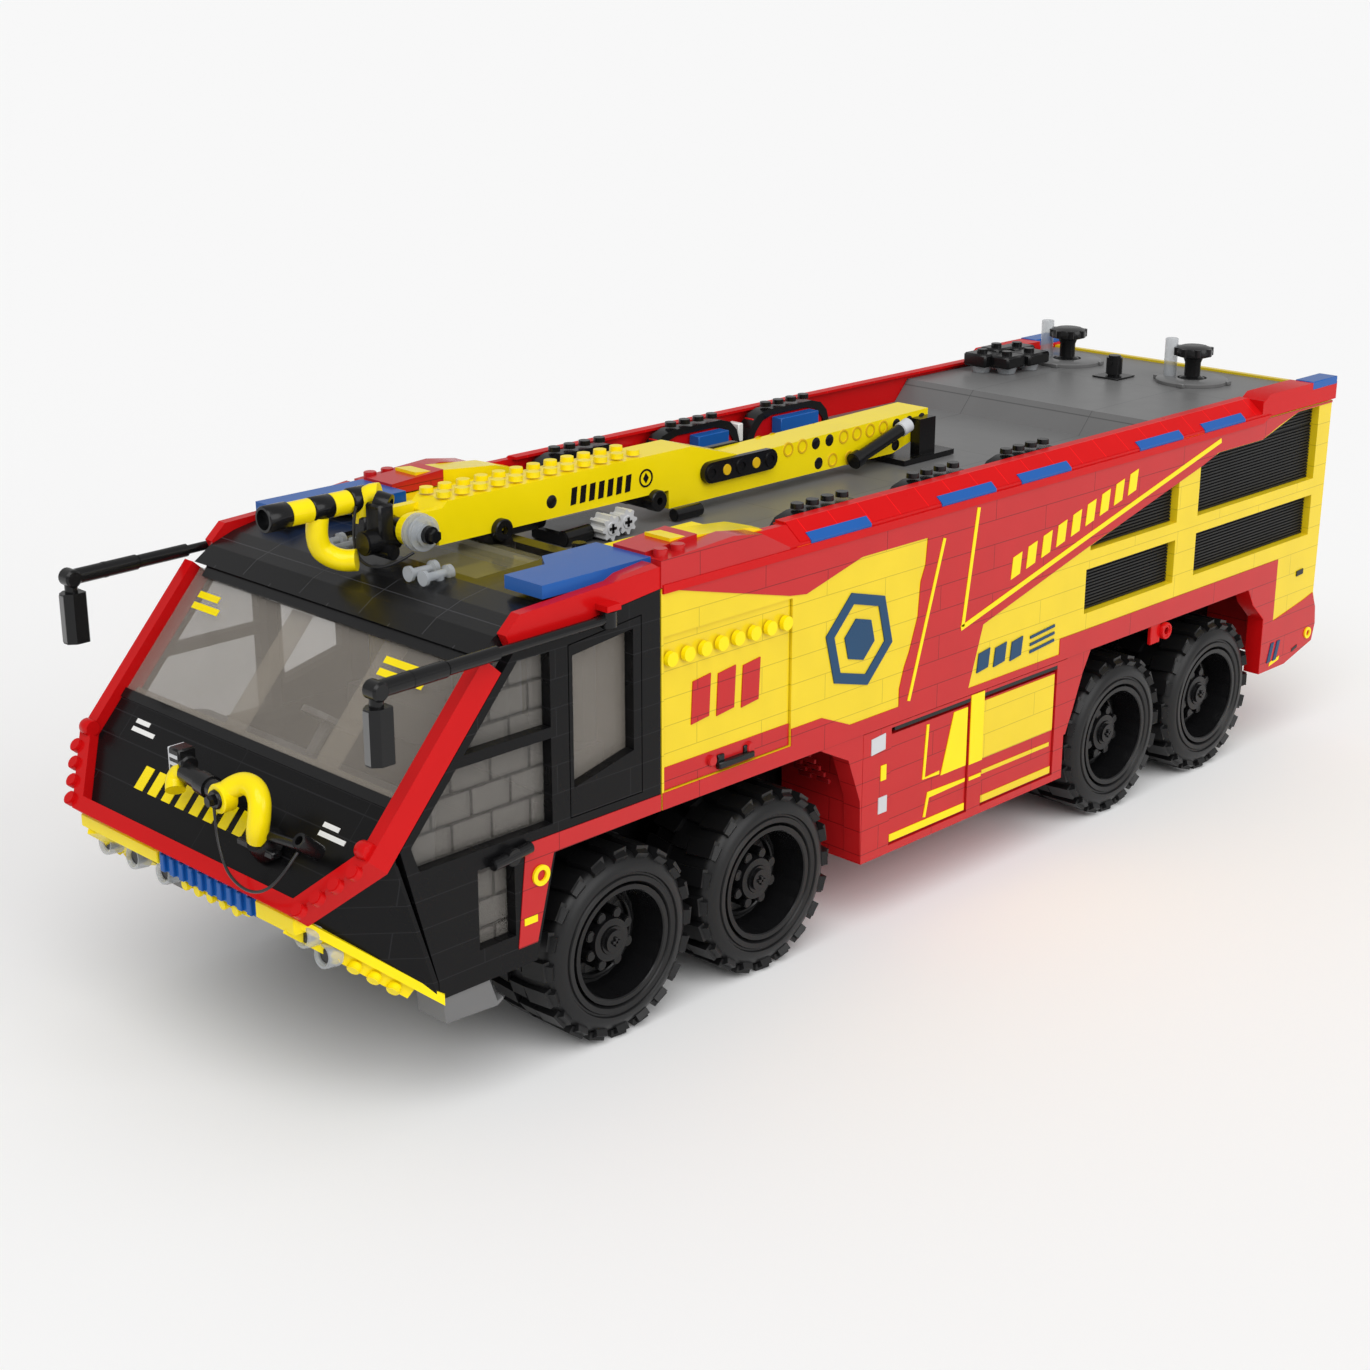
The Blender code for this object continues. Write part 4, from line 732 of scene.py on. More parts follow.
# ---- grilles
grilleLook = {"pitch": 1.35, "size": (1.3, 0.72), "proud": 0.4, "ends": (158.1, 269.2)}
for side, sign in sides:
    face = sign * (reach(f"grille_{side}") + grilleLook["proud"])
    frontEnd, rearEnd = grilleLook["ends"]
    bm = bmesh.new()
    for start, z, length, count, full, shrink in (
            (frontEnd, 96.2, 63.7, 13, 99, 0), (rearEnd, 96.2, 94.8, 13, 99, 0),
            (frontEnd, 122.3, 61.8, 13, 1, 5.2), (rearEnd, 122.3, 94.8, 18, 15, 4.4),
            (rearEnd, 147.4, 44.6, 6, 0, 5.2)):
        addSlats(bm, grilleBlack, (face, start, z), count, grilleLook["pitch"], length, full, shrink,
                 grilleLook["size"])
    makePiece(f"grilleSlats_{side}", bm, grilleBlack, "truck")
print("grilles ready")


# ---- roof edge: light strips, tiles, arched rails
roofLook = {"blue": ((-73, -41), (-1, 31.5), (47.5, 79.5), (127, 158.5), (175, 206.5)),
            "orange": ((-80, -73), (159, 175)), "rails": (-76, -12, 45), "railLong": 52}
for side, sign in sides:
    strip = [(80.3, 156.7), (80.3, 158.3), (77.6, 160.7), (76.4, 160.2)]
    bm = bmesh.new()
    for start, end in roofLook["blue"]:
        addPrism(bm, [(sign * x, z) for x, z in strip], start, end, "y")
    addBlock(bm, (sign * 71, 262, 163), (sign * 80.2, 283, 166.6), 0.3)
    makePiece(f"blueStrips_{side}", bm, blue, "truck")
    bm = bmesh.new()
    for start, end in roofLook["orange"]:
        addPrism(bm, [(sign * 80.25, 156.4), (sign * 80.25, 157.2), (sign * 79, 157.6), (sign * 79, 156.4)], start,
                 end, "y")
    makePiece(f"orangeStrips_{side}", bm, orange, "truck")
    # sloping tiles along the top, their joint lines painted lighter as painted highlights along the seams, the stepped
    # rear rail and the glossy step below
    bm = bmesh.new()
    addPrism(bm, [(sign * x, z) for x, z in ((79.6, 158.6), (72.4, 164.3), (67.8, 164.3), (67.8, 163.2),
                                             (72.2, 163.2), (79.2, 158.0))],
             -78, 221, "y")
    makePiece(f"roofTiles_{side}", bm, redTileLitSeams, "truck")
    bm = bmesh.new()
    addPrism(bm, [(221, 163.2), (226, 166.2), (262, 166.2), (262, 163.2)], sign * 68.5, sign * 80.1)
    addPrism(bm, [(-145.2, 154.2), (221, 154.2), (228, 157.2), (-145.2, 157.2)], sign * 79.6, sign * 80.8)
    makePiece(f"roofSteps_{side}", bm, redPlain, "truck")
    # red and yellow blocks at the cab's rear corner
    bm = bmesh.new()
    addPrism(bm, [(-196, 155.5), (-146, 157), (-146, 163.2), (-150, 165.5), (-163, 164), (-172, 160.2), (-196, 157.8)],
             sign * 60, sign * 79.9)
    addPrism(bm, [(-146, 156.4), (-84, 156.4), (-84, 158), (-98, 165.3), (-112, 167.4), (-146, 165.4)], sign * 72,
             sign * 80.4)
    addPrism(bm, [(-146, 163), (-122, 163), (-122, 168.6), (-146, 167)], sign * 58, sign * 73)
    for y in (-142, -134):
        addRod(bm, (sign * 76, y, 165), (sign * 76, y, 168.2), 2.45, 16, bevel=0.25)
    makePiece(f"roofCorner_{side}", bm, red, "truck")
    bm = bmesh.new()
    addPrism(bm, [(-133.5, 169), (-95, 165.4), (-82, 161.5), (-82, 156.4), (-133.5, 156.4)], sign * 60, sign * 71.8)
    addBlock(bm, (sign * 44, -146, 158.2), (sign * 58, -95, 162.6), 0.3)
    makePiece(f"roofCornerYellow_{side}", bm, yellowPlain, "truck")
    # arched black rails with studs on top
    bm = bmesh.new()
    inner = []
    for start in roofLook["rails"]:
        end = start + roofLook["railLong"]
        arch = [(start, 152.2), (start + 2, 158.5), (start + 6, 162.4), (start + 12, 164), (end - 12, 164),
                (end - 6, 162.4), (end - 2, 158.5), (end, 152.2)]
        under = [(y + (3 if y < (start + end) / 2 else -3), z - 2.6 if z > 153 else z) for y, z in arch]
        addPrism(bm, arch + under[::-1], sign * 60.2, sign * 66.8)
        addStuds(bm, black, (sign * 63.5, start + 14, 164.8), 4, 2.45, 1.9)
        inner.append((start, end))
    makePiece(f"roofRails_{side}", bm, black, "truck")
    bm = bmesh.new()
    for start, end in inner:
        addBlock(bm, (sign * 61, start + 4, 152.1), (sign * 66.4, end - 4, 161), 0.3)
    makePiece(f"railBlocks_{side}", bm, redPlain, "truck")
    bm = bmesh.new()
    addBlock(bm, (sign * 62, -10, 152.2), (sign * 68, -22, 158.5), 0.4)
    addBlock(bm, (sign * 62, 41, 152.2), (sign * 68.6, 44, 160), 0.4)
    makePiece(f"railWhites_{side}", bm, white, "truck")
    bm = bmesh.new()
    addBlock(bm, (sign * 55, 10, 152.1), (sign * 60.6, 28, 160.5), 0.3)
    addBlock(bm, (sign * 55, 60, 152.1), (sign * 60.6, 84, 160.5), 0.3)
    makePiece(f"railBlues_{side}", bm, blue, "truck")
print("roof edge ready")


# ---- rear deck: vents, knob, block cluster
deckTop = boxOf("roof_deck")[1].z
for side in ("left", "right"):
    low, high = boxOf(f"roof_vent_{side}")
    x, y = (low.x + high.x) / 2, (low.y + high.y) / 2
    bm = bmesh.new()
    addTurned(bm, [(0, 16.6), (5.4, 16.6), (7.8, 15.8), (8.4, 14.4), (8.2, 12.2), (4.4, 11.0), (3.6, 9), (3.6, 3),
                   (5.4, 2.2), (6.4, 0.4), (0, 0.4)],
              (x, y, deckTop), (0, 0, 1), 32)
    for step in range(8):
        turn = math.tau * step / 8
        off = Vector((math.cos(turn), math.sin(turn), 0)) * 7.3
        addRod(bm, Vector((x, y, deckTop + 12.4)) + off, Vector((x, y, deckTop + 15.8)) + off, 1.7, 10)
    makePiece(f"ventKnob_{side}", bm, black, "truck", (f"roof_vent_{side}",))
    bm = bmesh.new()
    addTurned(bm, [(6.6, 0.1), (6.6, 2.0), (15.4, 2.0), (16.2, 1.4), (16.2, 0.1)], (x, y, deckTop), (0, 0, 1), 40)
    for turn in (0.3, 1.9, 3.4, 5.0):
        off = Vector((math.cos(turn), math.sin(turn), 0)) * 16
        addBlock(bm, Vector((x - 1.6, y - 1.6, deckTop + 0.1)) + off, Vector((x + 1.6, y + 1.6, deckTop + 1.8)) + off,
                 0.2)
    makePiece(f"ventRing_{side}", bm, greyPlain, "truck")
    bm = bmesh.new()
    addRod(bm, (x - 10.5, y - 2, deckTop + 0.1), (x - 10.5, y - 2, deckTop + 19), 3.0, 16, bevel=0.3)
    makePiece(f"ventPost_{side}", bm, clear, "truck")
bm = bmesh.new()
addBlock(bm, (-12, 225, deckTop + 0.1), (2, 239, deckTop + 0.8), 0.2)
addRod(bm, (-5.2, 232.5, deckTop + 0.6), (-5.2, 232.5, deckTop + 10), 3.7, 20, bevel=0.9)
addRod(bm, (-5.2, 228.4, deckTop + 7), (-5.2, 236.6, deckTop + 7), 1.4, 12)
deckLook = (((-63, 194), (-50, 206), 9), ((-52, 198), (-40, 212), 8.6), ((-63, 206), (-52, 218), 10),
            ((-51, 212), (-38, 228), 8.4), ((-62, 219), (-50, 233), 9))
for start, end, height in deckLook:
    addBlock(bm, (*start, deckTop + 3), (*end, deckTop + height), 0.9)
    addRod(bm, ((start[0] + end[0]) / 2, (start[1] + end[1]) / 2, deckTop + height - 0.2),
           ((start[0] + end[0]) / 2, (start[1] + end[1]) / 2, deckTop + height + 1.6), 2.45, 14, bevel=0.2)
makePiece("deckBlocks", bm, black, "truck")
bm = bmesh.new()
for start, end, height in deckLook:
    x, y = (start[0] + end[0]) / 2, (start[1] + end[1]) / 2
    addRod(bm, (x, y, deckTop + 0.1), (x, y, deckTop + 3.2), 4.2, 14, tip=5.2)
makePiece("deckFeet", bm, clear, "truck")
# rear wall: louvres, hatched side bands, tow pin, mud flaps and round lamps
rearY = boxOf("rear_panel")[1].y
bumperY = boxOf("rear_bumper")[1].y
bm = bmesh.new()
addBlock(bm, (-46, rearY - 0.4, 92), (46, rearY + 0.9, 152), 0.3)
addBlock(bm, (-64, rearY - 0.4, 69), (64, rearY + 0.8, 74), 0.3)
addRod(bm, (-4, bumperY + 0.2, 50), (4, bumperY + 0.2, 50), 1.6, 14, bevel=0.3)
for x in (-60, 60):
    addBlock(bm, (x - 10, bumperY - 0.4, 44.5), (x + 10, bumperY + 0.5, 58), 0.4)
    addBlock(bm, (x - 9, 236, 22), (x + 9, 238, 36.4), 0.4)
makePiece("rearBlack", bm, black, "truck")
bm = bmesh.new()
addSlats(bm, grilleBlack, (0, rearY + 1.9, 94), 26, 2.2, 1.4, 99, 0, (84, 1.0))
makePiece("rearLouvres", bm, grilleBlack, "truck")
bm = bmesh.new()
for sign in (1, -1):
    for index in range(6):
        z = 78 + index * 12
        addPrism(bm, [(sign * 50, z), (sign * 68, z + 8), (sign * 68, min(z + 14, 146)), (sign * 50, z + 6)],
                 rearY - 0.2, rearY + 0.3, "y")
makePiece("rearHatch", bm, redPlain, "truck")
bm = bmesh.new()
for x in (-64, -56, 56, 64):
    addTurned(bm, [(0, -0.4), (3.2, -0.4), (3.2, 0.5), (2.6, 1.1), (0, 1.2)], (x, bumperY + 0.4, 51), (0, 1, 0), 20)
makePiece("rearLamps", bm, redPlain, "truck")
print("rear deck ready")


# ---- cab: beacons, spotlights, mullions
for side, sign in sides:
    low, high = boxOf(f"beacon_{side}")
    bm = bmesh.new()
    xIn, xOut = min(abs(low.x), abs(high.x)), max(abs(low.x), abs(high.x))
    addPrism(bm, [(sign * (xIn + 8), -193), (sign * xOut, -193), (sign * xOut, -146), (sign * xIn, -146),
                  (sign * xIn, -170), (sign * (xIn + 8), -176)], high.z - 4.4, high.z, "z")
    makePiece(f"beaconBar_{side}", bm, blue, "truck", (f"beacon_{side}",))
    bm = bmesh.new()
    for x in (21, 28.5):
        addTurned(bm, [(0, -1.2), (2.6, -1.2), (2.6, 0), (1.5, 0.6), (1.5, 8), (2.6, 8.6), (2.6, 10.4), (0, 10.4)],
                  (sign * x, -201, 160.6), (0, 1, 0), 18)
        addRod(bm, (sign * x, -195, 158.5), (sign * x, -195, 161), 1.5, 12)
    makePiece(f"spotLights_{side}", bm, clear, "truck")
frontSlope = math.radians(48.2)
faceFoot = boxOf("front_frame")[0].y + 4.32     # where the raked plane meets the bumper's top
slopeUp = Vector((0, math.cos(frontSlope), math.sin(frontSlope)))
slopeOut = Vector((0, -math.sin(frontSlope), math.cos(frontSlope)))


def onFace(x, z, out=0.0):
    # a point on the raked front, at that height, out of its plane
    return Vector((x, faceFoot + (z - 83) / math.tan(frontSlope), z)) + slopeOut * out


def addFacePatch(bm, outline, out, thick=0.3):
    # a thin patch on the raked front, outline in (x, z)
    joinRings(bm, [[bm.verts.new(spot(onFace(x, z, depth))) for x, z in outline] for depth in (out - thick, out)])


bm = bmesh.new()
for low, high in ((-22.5, -12), (27, 38)):
    addFacePatch(bm, rectangle(low, 112, high, 147), -6.4, 0.8)
addFacePatch(bm, rectangle(-74, 112, 74, 114.2), -5.6, 0.5)
makePiece("screenMullions", bm, smokedPost, "truck")
bm = bmesh.new()
addFacePatch(bm, rectangle(-69.5, 146.6, 69.5, 151.4), -1.2, 2.0)
addFacePatch(bm, rectangle(-74.8, 109.8, 74.8, 112.4), -2.1, 0.8)
makePiece("screenTrim", bm, black, "truck")
bm = bmesh.new()
for index in range(8):
    x = -42 + index * 8
    addFacePatch(bm, rectangle(x, 90.2, x + 4.8, 96.4), -2.5)
for low, high in ((-67, -52), (36, 58)):
    for step in (0, 3.2):
        addFacePatch(bm, rectangle(low, 138 + step, high - step, 139.8 + step), -2.5)
makePiece("faceMarks", bm, yellowPlain, "truck")
bm = bmesh.new()
for x, z, wide in ((-60, 103, 13), (50, 98.2, 13)):
    addFacePatch(bm, rectangle(x, z, x + wide, z + 1.2), -2.5)
    addFacePatch(bm, rectangle(x, z + 2.2, x + wide * 0.6, z + 3.4), -2.5)
makePiece("whiteMarks", bm, white, "truck")
# red bumper bar: studs and lugs on the chamfers
bm = bmesh.new()
for side, sign in sides:
    for index in range(4):
        x, z = 64 + index * 4.3, 80.9 + index * 4.2
        addRod(bm, onFace(sign * x, z, -0.6), onFace(sign * x, z, 2.3), 2.4, 14, bevel=0.3)
    addTurned(bm, [(0, -2.4), (2.6, -2.4), (3.0, -1.6), (3.0, 1.6), (2.6, 2.4), (0, 2.4)],
              onFace(sign * 76.5, 99, 1.0), (1, 0, 0), 18)
makePiece("bumperStuds", bm, redPlain, "truck")
# yellow lip along the nose's lower edge, the blue ribbed block and the round lamps under the bar
bm = bmesh.new()
for sign in (1, -1):
    corner, low = Vector((sign * 60, -278.5, 76.6)), Vector((sign * 81.2, -241.5, 45.4))
    inward, down = Vector((-sign * 8.6, 6.6, -1.2)), Vector((0, 0, -3.6))
    ends = [[p, p + inward, p + inward + down, p + down] for p in (corner, low)]
    joinRings(bm, [[bm.verts.new(spot(p)) for p in ring] for ring in ends])
    tuck = Vector((-sign * 5.0, -1.6, -4.2))
    under = [corner.lerp(low, share) + tuck for share in (-0.02, 0.84)]
    offsets = (Vector((sign * 2.4, 1.4, 2.4)), Vector((-sign * 2.6, 3.6, 2.4)), Vector((-sign * 2.6, 2.2, -1.6)),
               Vector((sign * 0.6, -1.0, -1.6)))
    joinRings(bm, [[bm.verts.new(spot(p + off)) for off in offsets] for p in under])
    ahead = Vector((sign * 0.35, -0.8, -0.5)).normalized()
    for share in (0.4, 0.56, 0.72, 0.88):
        base = under[0].lerp(under[1], share) + Vector((sign * 1.0, -0.2, 0.2))
        addRod(bm, base, base + ahead * 2.5, 2.2, 14, bevel=0.25)
addBlock(bm, (40, -281, 71.4), (60, -272, 77.2), 0.4)
addBlock(bm, (-60, -281, 72.6), (-14, -272, 77.2), 0.4)
addBlock(bm, (-6, -277, 66.6), (30, -270, 70.4), 0.4)
for index in range(5):
    addRod(bm, (-2 + index * 7, -277.5, 68.4), (-2 + index * 7, -279.2, 68.4), 1.9, 12, bevel=0.2)
makePiece("bumperLip", bm, yellowPlain, "truck")
bm = bmesh.new()
addBlock(bm, (-14, -280.2, 70.6), (40, -271, 77.4), 0.4)
for index in range(10):
    addBlock(bm, (-12 + index * 5.3, -281.4, 71), (-9.6 + index * 5.3, -279.8, 77.2), 0.3)
makePiece("bumperBlue", bm, blue, "truck")
lampLook = {"places": ((-61.5, -270, 63), (-41, -272, 64.5), (-23, -272, 64.5), (58.5, -275.5, 70),
                       (61.5, -270.5, 62.5))}
bm = bmesh.new()
for x, y, z in lampLook["places"]:
    addTurned(bm, [(2.6, -1.5), (2.6, 1.5), (3.2, 2.1), (4.0, 2.1), (4.2, 1.4), (4.2, -3), (1, -3), (1, -1.5)],
              (x, y, z), (0, -1, 0.1), 24)
    addRod(bm, (x, y + 2, z), (x, y + 5, z + 3.5), 2.2, 12)
addBlock(bm, (-56, -272, 66), (-30, -268, 69), 0.3)
makePiece("headLamps", bm, clear, "truck", ("headlights",))
bm = bmesh.new()
for x, y, z in lampLook["places"]:
    addRod(bm, (x, y - 1.2, z), (x, y + 2.5, z), 2.5, 16, bevel=0.3)
for sign in (1, -1):
    addBlock(bm, (sign * 56, -267, 62), (sign * 64, -262, 72), 0.4)
makePiece("lampCores", bm, black, "truck")
# step brackets under the cab's front corners
bm = bmesh.new()
for sign in (1, -1):
    addPrism(bm, [(-241, 43.4), (-240, 34.4), (-219, 33.2), (-216.5, 34.6), (-216.5, 35.6), (-219, 34.8),
                  (-222, 43.4)], sign * 66, sign * 79.5)
makePiece("stepBrackets", bm, greyPlain, "truck")
# side fittings of the cab: ring, plate and the pin at the front door's foot
for side, sign in sides:
    cabX = reach(f"cab_side_{side}")
    bm = bmesh.new()
    addPaint(bm, [(-210, 50), (-202, 50), (-194.4, 78.8), (-150, 79.2), (-146.2, 79.2), (-146.2, 85), (-206, 85)],
             sign, cabX)
    makePiece(f"cabRed_{side}", bm, red, "truck")
    bm = bmesh.new()
    addTurned(bm, [(1.9, -0.2), (1.9, 0.9), (3.5, 0.9), (3.5, -0.2)], (sign * (cabX + 0.2), -200.3, 72.8),
              (sign, 0, 0), 28)
    addPaint(bm, rectangle(-207.5, 57.3, -202, 59.7), sign, cabX, 0.2)
    makePiece(f"cabRing_{side}", bm, yellowPlain, "truck")
    bm = bmesh.new()
    addRod(bm, (sign * (cabX - 1), -213, 83.4), (sign * (cabX + 3), -213, 83.4), 3.0, 16, bevel=0.3)
    addRod(bm, (sign * (cabX + 1.4), -221, 82.6), (sign * (cabX + 1.4), -205, 84.4), 2.0, 14, bevel=0.3)
    makePiece(f"cabPin_{side}", bm, black, "truck")
print("cab fittings ready")


# ---- boom
boomLook = {"studs": 12}
bm = bmesh.new()
for x in (-4.4, 4.4):
    addStuds(bm, yellowPlain, (x, -173, 178.2), boomLook["studs"], 2.5, 1.9)
makePiece("boomStuds", bm, yellowPlain, "boom")
bm = bmesh.new()
for sign in (1, -1):
    face = sign * 8
    # dark pin holes
    for y, z in ((-127.8, 169), (10.6, 167.6), (18.6, 167.6), (59.6, 167.6), (67.6, 167.6), (75.6, 167.6),
                 (12.4, 159.4), (59.4, 159.2)):
        addTurned(bm, [(0, 0.15), (2.2, 0.15), (2.4, 0.05), (2.4, -0.4), (0, -0.4)], (face, y, z), (sign, 0, 0), 18)
    # black rounded link with holes
    outline = []
    for centre, start in (((-50, 166.4), 90), ((-18, 166.4), -90)):
        outline += [(centre[0] + 4 * math.cos(math.radians(start + 22.5 * step)),
                     centre[1] + 4 * math.sin(math.radians(start + 22.5 * step)))
                    for step in range(9)]
    addPrism(bm, outline, sign * 7.9, sign * 10.4)
    # holes of the link and the pins of the connectors under the boom
    for y in (-50, -34, -18):
        addTurned(bm, [(1.7, 2.3), (1.7, 2.9), (2.9, 2.9), (3.1, 2.3)], (face, y, 166.4), (sign, 0, 0), 18)
    for y, z in ((-151.6, 163.6), (-77.4, 160.6)):
        addTurned(bm, [(1.6, -2), (1.6, 1.4), (1.4, 2.6), (3.6, 2.6), (4.0, 2.2), (4.0, -2)], (face, y, z),
                  (sign, 0, 0), 20)
# connectors and the tube between them
addBlock(bm, (-7.6, -155.4, 158.4), (7.6, -147.8, 167), 0.8)
addBlock(bm, (-7.6, -81, 157.6), (7.6, -73.6, 163), 0.8)
addRod(bm, (0, -147, 161.4), (0, -126, 161.4), 3.4, 18, bevel=0.4)
# lift cylinder: the barrel and its foot
for start, end, radius in (((12, 32, 159), (12, 58, 166.5), 2.6), ((12, 28.5, 158), (12, 32.5, 159.2), 3.4)):
    addRod(bm, start, end, radius, 18, bevel=0.3)
makePiece("boomPins", bm, black, "boom")
bm = bmesh.new()
addRod(bm, (12, 57, 166.2), (12, 62.5, 167.8), 3.0, 16, bevel=0.3)
makePiece("boomBush", bm, greyLight, "boom")
# rings round the boom's holes in the darker yellow are painted shade in the holes; discs in the link's holes show the
# yellow behind them, painted darker as shade
bm = bmesh.new()
for sign in (1, -1):
    for y, z in [(-5.4 + index * 8.1, 167.7) for index in (0, 1, 4, 5, 6, 7)] + [(20.6, 159.4), (31, 158.6)]:
        addTurned(bm, [(0, -0.3), (2.0, -0.3), (2.1, 0.25), (2.8, 0.25), (3.0, -0.3)], (sign * 8, y, z), (sign, 0, 0),
                  18)
    for y in (-42, -26):
        addTurned(bm, [(0, 2.2), (0, 2.7), (2.0, 2.7), (2.2, 2.2)], (sign * 8, y, 166.4), (sign, 0, 0), 18)
makePiece("boomHoleShade", bm, yellowShaded, "boom")
bm = bmesh.new()
for sign in (1, -1):
    for index in range(7):
        y = -119 + index * 4.4
        addPrism(bm, [(y, 166), (y + 2.6, 166.2), (y + 3.4, 172.4), (y + 0.8, 172.2)], sign * 7.9, sign * 8.15)
    addTurned(bm, [(2.7, -0.1), (2.7, 0.2), (3.4, 0.2), (3.4, -0.1)], (sign * 8, -82, 169.6), (sign, 0, 0), 28)
    addPrism(bm, [(-82, 167.6), (-80.6, 169.6), (-82, 171.6), (-83.4, 169.6)], sign * 7.9, sign * 8.15)
makePiece("boomHatch", bm, black, "boom")
# grey gears and their black block, on the deck beside the boom
gearLook = {"teeth": 8, "outer": 4.7, "inner": 3.5, "across": (8.6, 16),
            "places": ((-106.5, 156.9, 0.0), (-97, 157.2, 2.0))}
bm = bmesh.new()
for y, z, shift in gearLook["places"]:
    outline = []
    for step in range(gearLook["teeth"] * 4):
        turn = math.tau * step / (gearLook["teeth"] * 4)
        radius = gearLook["outer"] if step % 4 in (0, 1) else gearLook["inner"]
        outline.append((y + radius * math.cos(turn), z + radius * math.sin(turn)))
    addPrism(bm, outline, gearLook["across"][0], gearLook["across"][1] - shift)
    addTurned(bm, [(0, -0.2), (0, 0.4), (2.3, 0.4), (2.5, -0.2)], (gearLook["across"][1] - shift, y, z), (1, 0, 0), 18)
makePiece("deckGears", bm, greyLight, "truck")
bm = bmesh.new()
for y, z, shift in gearLook["places"]:
    for half in ((1.7, 0.5), (0.5, 1.7)):
        x = gearLook["across"][1] - shift
        addBlock(bm, (x, y - half[0], z - half[1]), (x + 0.7, y + half[0], z + half[1]), 0.05)
addBlock(bm, (-8, -124, 152.2), (8.4, -92, 157.2), 0.8)
addRod(bm, (9, -124, 155), (9, -111, 155.4), 2.9, 18, bevel=0.4)
addRod(bm, (26, -131.6, 152.1), (26, -131.6, 158.6), 2.6, 16, bevel=0.3)
addRod(bm, (12, -72, 154.6), (12, -58, 154.6), 2.4, 16, bevel=0.3)
makePiece("deckMounts", bm, black, "truck")
print("boom ready")


# ---- roof monitor
tip = Vector((0, -188.35, 170))
monitorLook = {"bands": ((-235.2, -226, 4.5, "black"), (-226, -217, 4.0, "yellow"), (-217, -209, 4.15, "black"),
                         (-209, -201.5, 4.0, "yellow"), (-201.5, -194.4, 4.5, "black"))}
pieces = {"black": bmesh.new(), "yellow": bmesh.new(), "clear": bmesh.new()}
dark, bright, glass = pieces.values()
for start, end, radius, colour in monitorLook["bands"]:
    long = end - start
    profile = [(0, 0), (radius - 0.4, 0), (radius, 0.4), (radius, long - 0.4), (radius - 0.4, long), (0, long)]
    if colour == "black":
        profile = [(0, 2.4), (radius - 1.3, 2.4), (radius - 1.1, 0), (radius - 0.3, 0), (radius, 0.4),
                   (radius, long - 0.4), (radius - 0.3, long), (radius - 1.1, long), (radius - 1.3, long - 1.6),
                   (0, long - 1.6)]
    addTurned(pieces[colour], profile, (-10, start, 179), (0, 1, 0), 24)
elbow = smoothRoute([(-10, -214, 176), (-10, -214.6, 170), (-9.6, -213.4, 165.2), (-7.4, -210.6, 162.4),
                     (-4.4, -208, 161.4), (-1.4, -205.4, 161.6)], 4)
addTube(bright, elbow, 3.7, 18)
addTube(bright, smoothRoute([(-8.6, -196, 172), (-8.8, -196.5, 177), (-7.2, -194.8, 180.4), (-4.4, -192.6, 181.2)],
                            4), 3.7, 18)
addTurned(dark, [(0, -2.6), (3.8, -2.6), (4.0, -2.0), (4.0, 2.4), (2.6, 2.6), (2.2, 1.2), (0, 1.2)],
          (-0.8, -194.2, 178.6), (0.8, 0.5, -0.25), 22)
addBlock(dark, (-4, -199.5, 166.5), (4, -193.2, 179.6), 0.8)
addBlock(dark, (-10.4, -199.5, 166.4), (-4.2, -193, 174), 0.6)
for start, end, radius, count, bevel in (
        ((-11, tip.y, 170), (17.2, tip.y, 170), 3.0, 18, 0.4), ((0, -204, 167), (0, -190, 167), 4.2, 18, 0.5),
        ((-7, -196, 163.6), (6.5, -196, 163.6), 2.6, 16, 0.4), ((15, tip.y, 170), (19.4, tip.y, 170), 2.3, 6, 0.2)):
    addRod(dark, start, end, radius, count, bevel=bevel)
addTurned(glass, [(3.1, 8.6), (6.2, 8.6), (6.4, 9), (6.4, 10.6), (5.2, 10.8), (5.2, 12.0), (6.0, 12.2), (6.0, 13.4),
                  (4.2, 13.8), (4.2, 15), (3.1, 15)],
          tip, (1, 0, 0), 30)
makePiece("roofMonitorBlack", dark, black, "roof_monitor", ("roof_monitor",))
makePiece("roofMonitorYellow", bright, yellowPlain, "roof_monitor")
makePiece("roofMonitorClear", glass, clear, "roof_monitor")

# ---- bumper monitor
footLook = {"x": 34, "z": 92}
foot = onFace(footLook["x"], footLook["z"])


def atFoot(x, up, out):
    return foot + Vector((x, 0, 0)) + slopeUp * up + slopeOut * out


dark, bright, pale = (bmesh.new() for _ in range(3))
for radius, count, steps, points in (
        (3.6, 20, 5, ((0, -1, 3.4), (1.0, 1.4, 6.4), (1.4, 5, 8.8), (0.4, 9, 11), (-3, 11.6, 12.2), (-7.6, 11.6, 13),
                      (-11.2, 8.8, 13.4), (-13, 5.6, 13.4))),
        (3.3, 18, 4, ((-42, 8.4, 8.6), (-44.6, 7, 8), (-45.4, 4.4, 7.4), (-43.6, 1.6, 6.8)))):
    addTube(bright, smoothRoute([atFoot(*point) for point in points], steps), radius, count)
ring = atFoot(-13, 5.2, 13)
addTurned(bright, [(3.2, -2.5), (3.2, 2.6), (4.4, 2.6), (4.8, 2.2), (4.8, -2.1), (4.4, -2.5)], ring, (0, -1, 0), 28)
addTurned(dark, [(0, -2.0), (3.1, -2.0), (3.1, 3.4), (2.8, 3.8), (1.2, 3.8), (1.0, 2.6), (0, 2.6)], ring, (0, -1, 0),
          24)
addRod(dark, ring + Vector((0, -3.4, 0)), ring + Vector((0, -6, 0)), 1.9, 6, bevel=0.2)
addTurned(dark, [(0, -2.2), (5.6, -2.2), (6.0, -1.6), (5.2, 1.6), (4.4, 3.6), (0, 3.6)], atFoot(0, -1, 0), slopeOut, 24)
addBlock(dark, atFoot(-11, -3, 0) - Vector((0, 2, 1)), atFoot(8, -3, 0) + Vector((0, 2, 1.4)), 0.5)
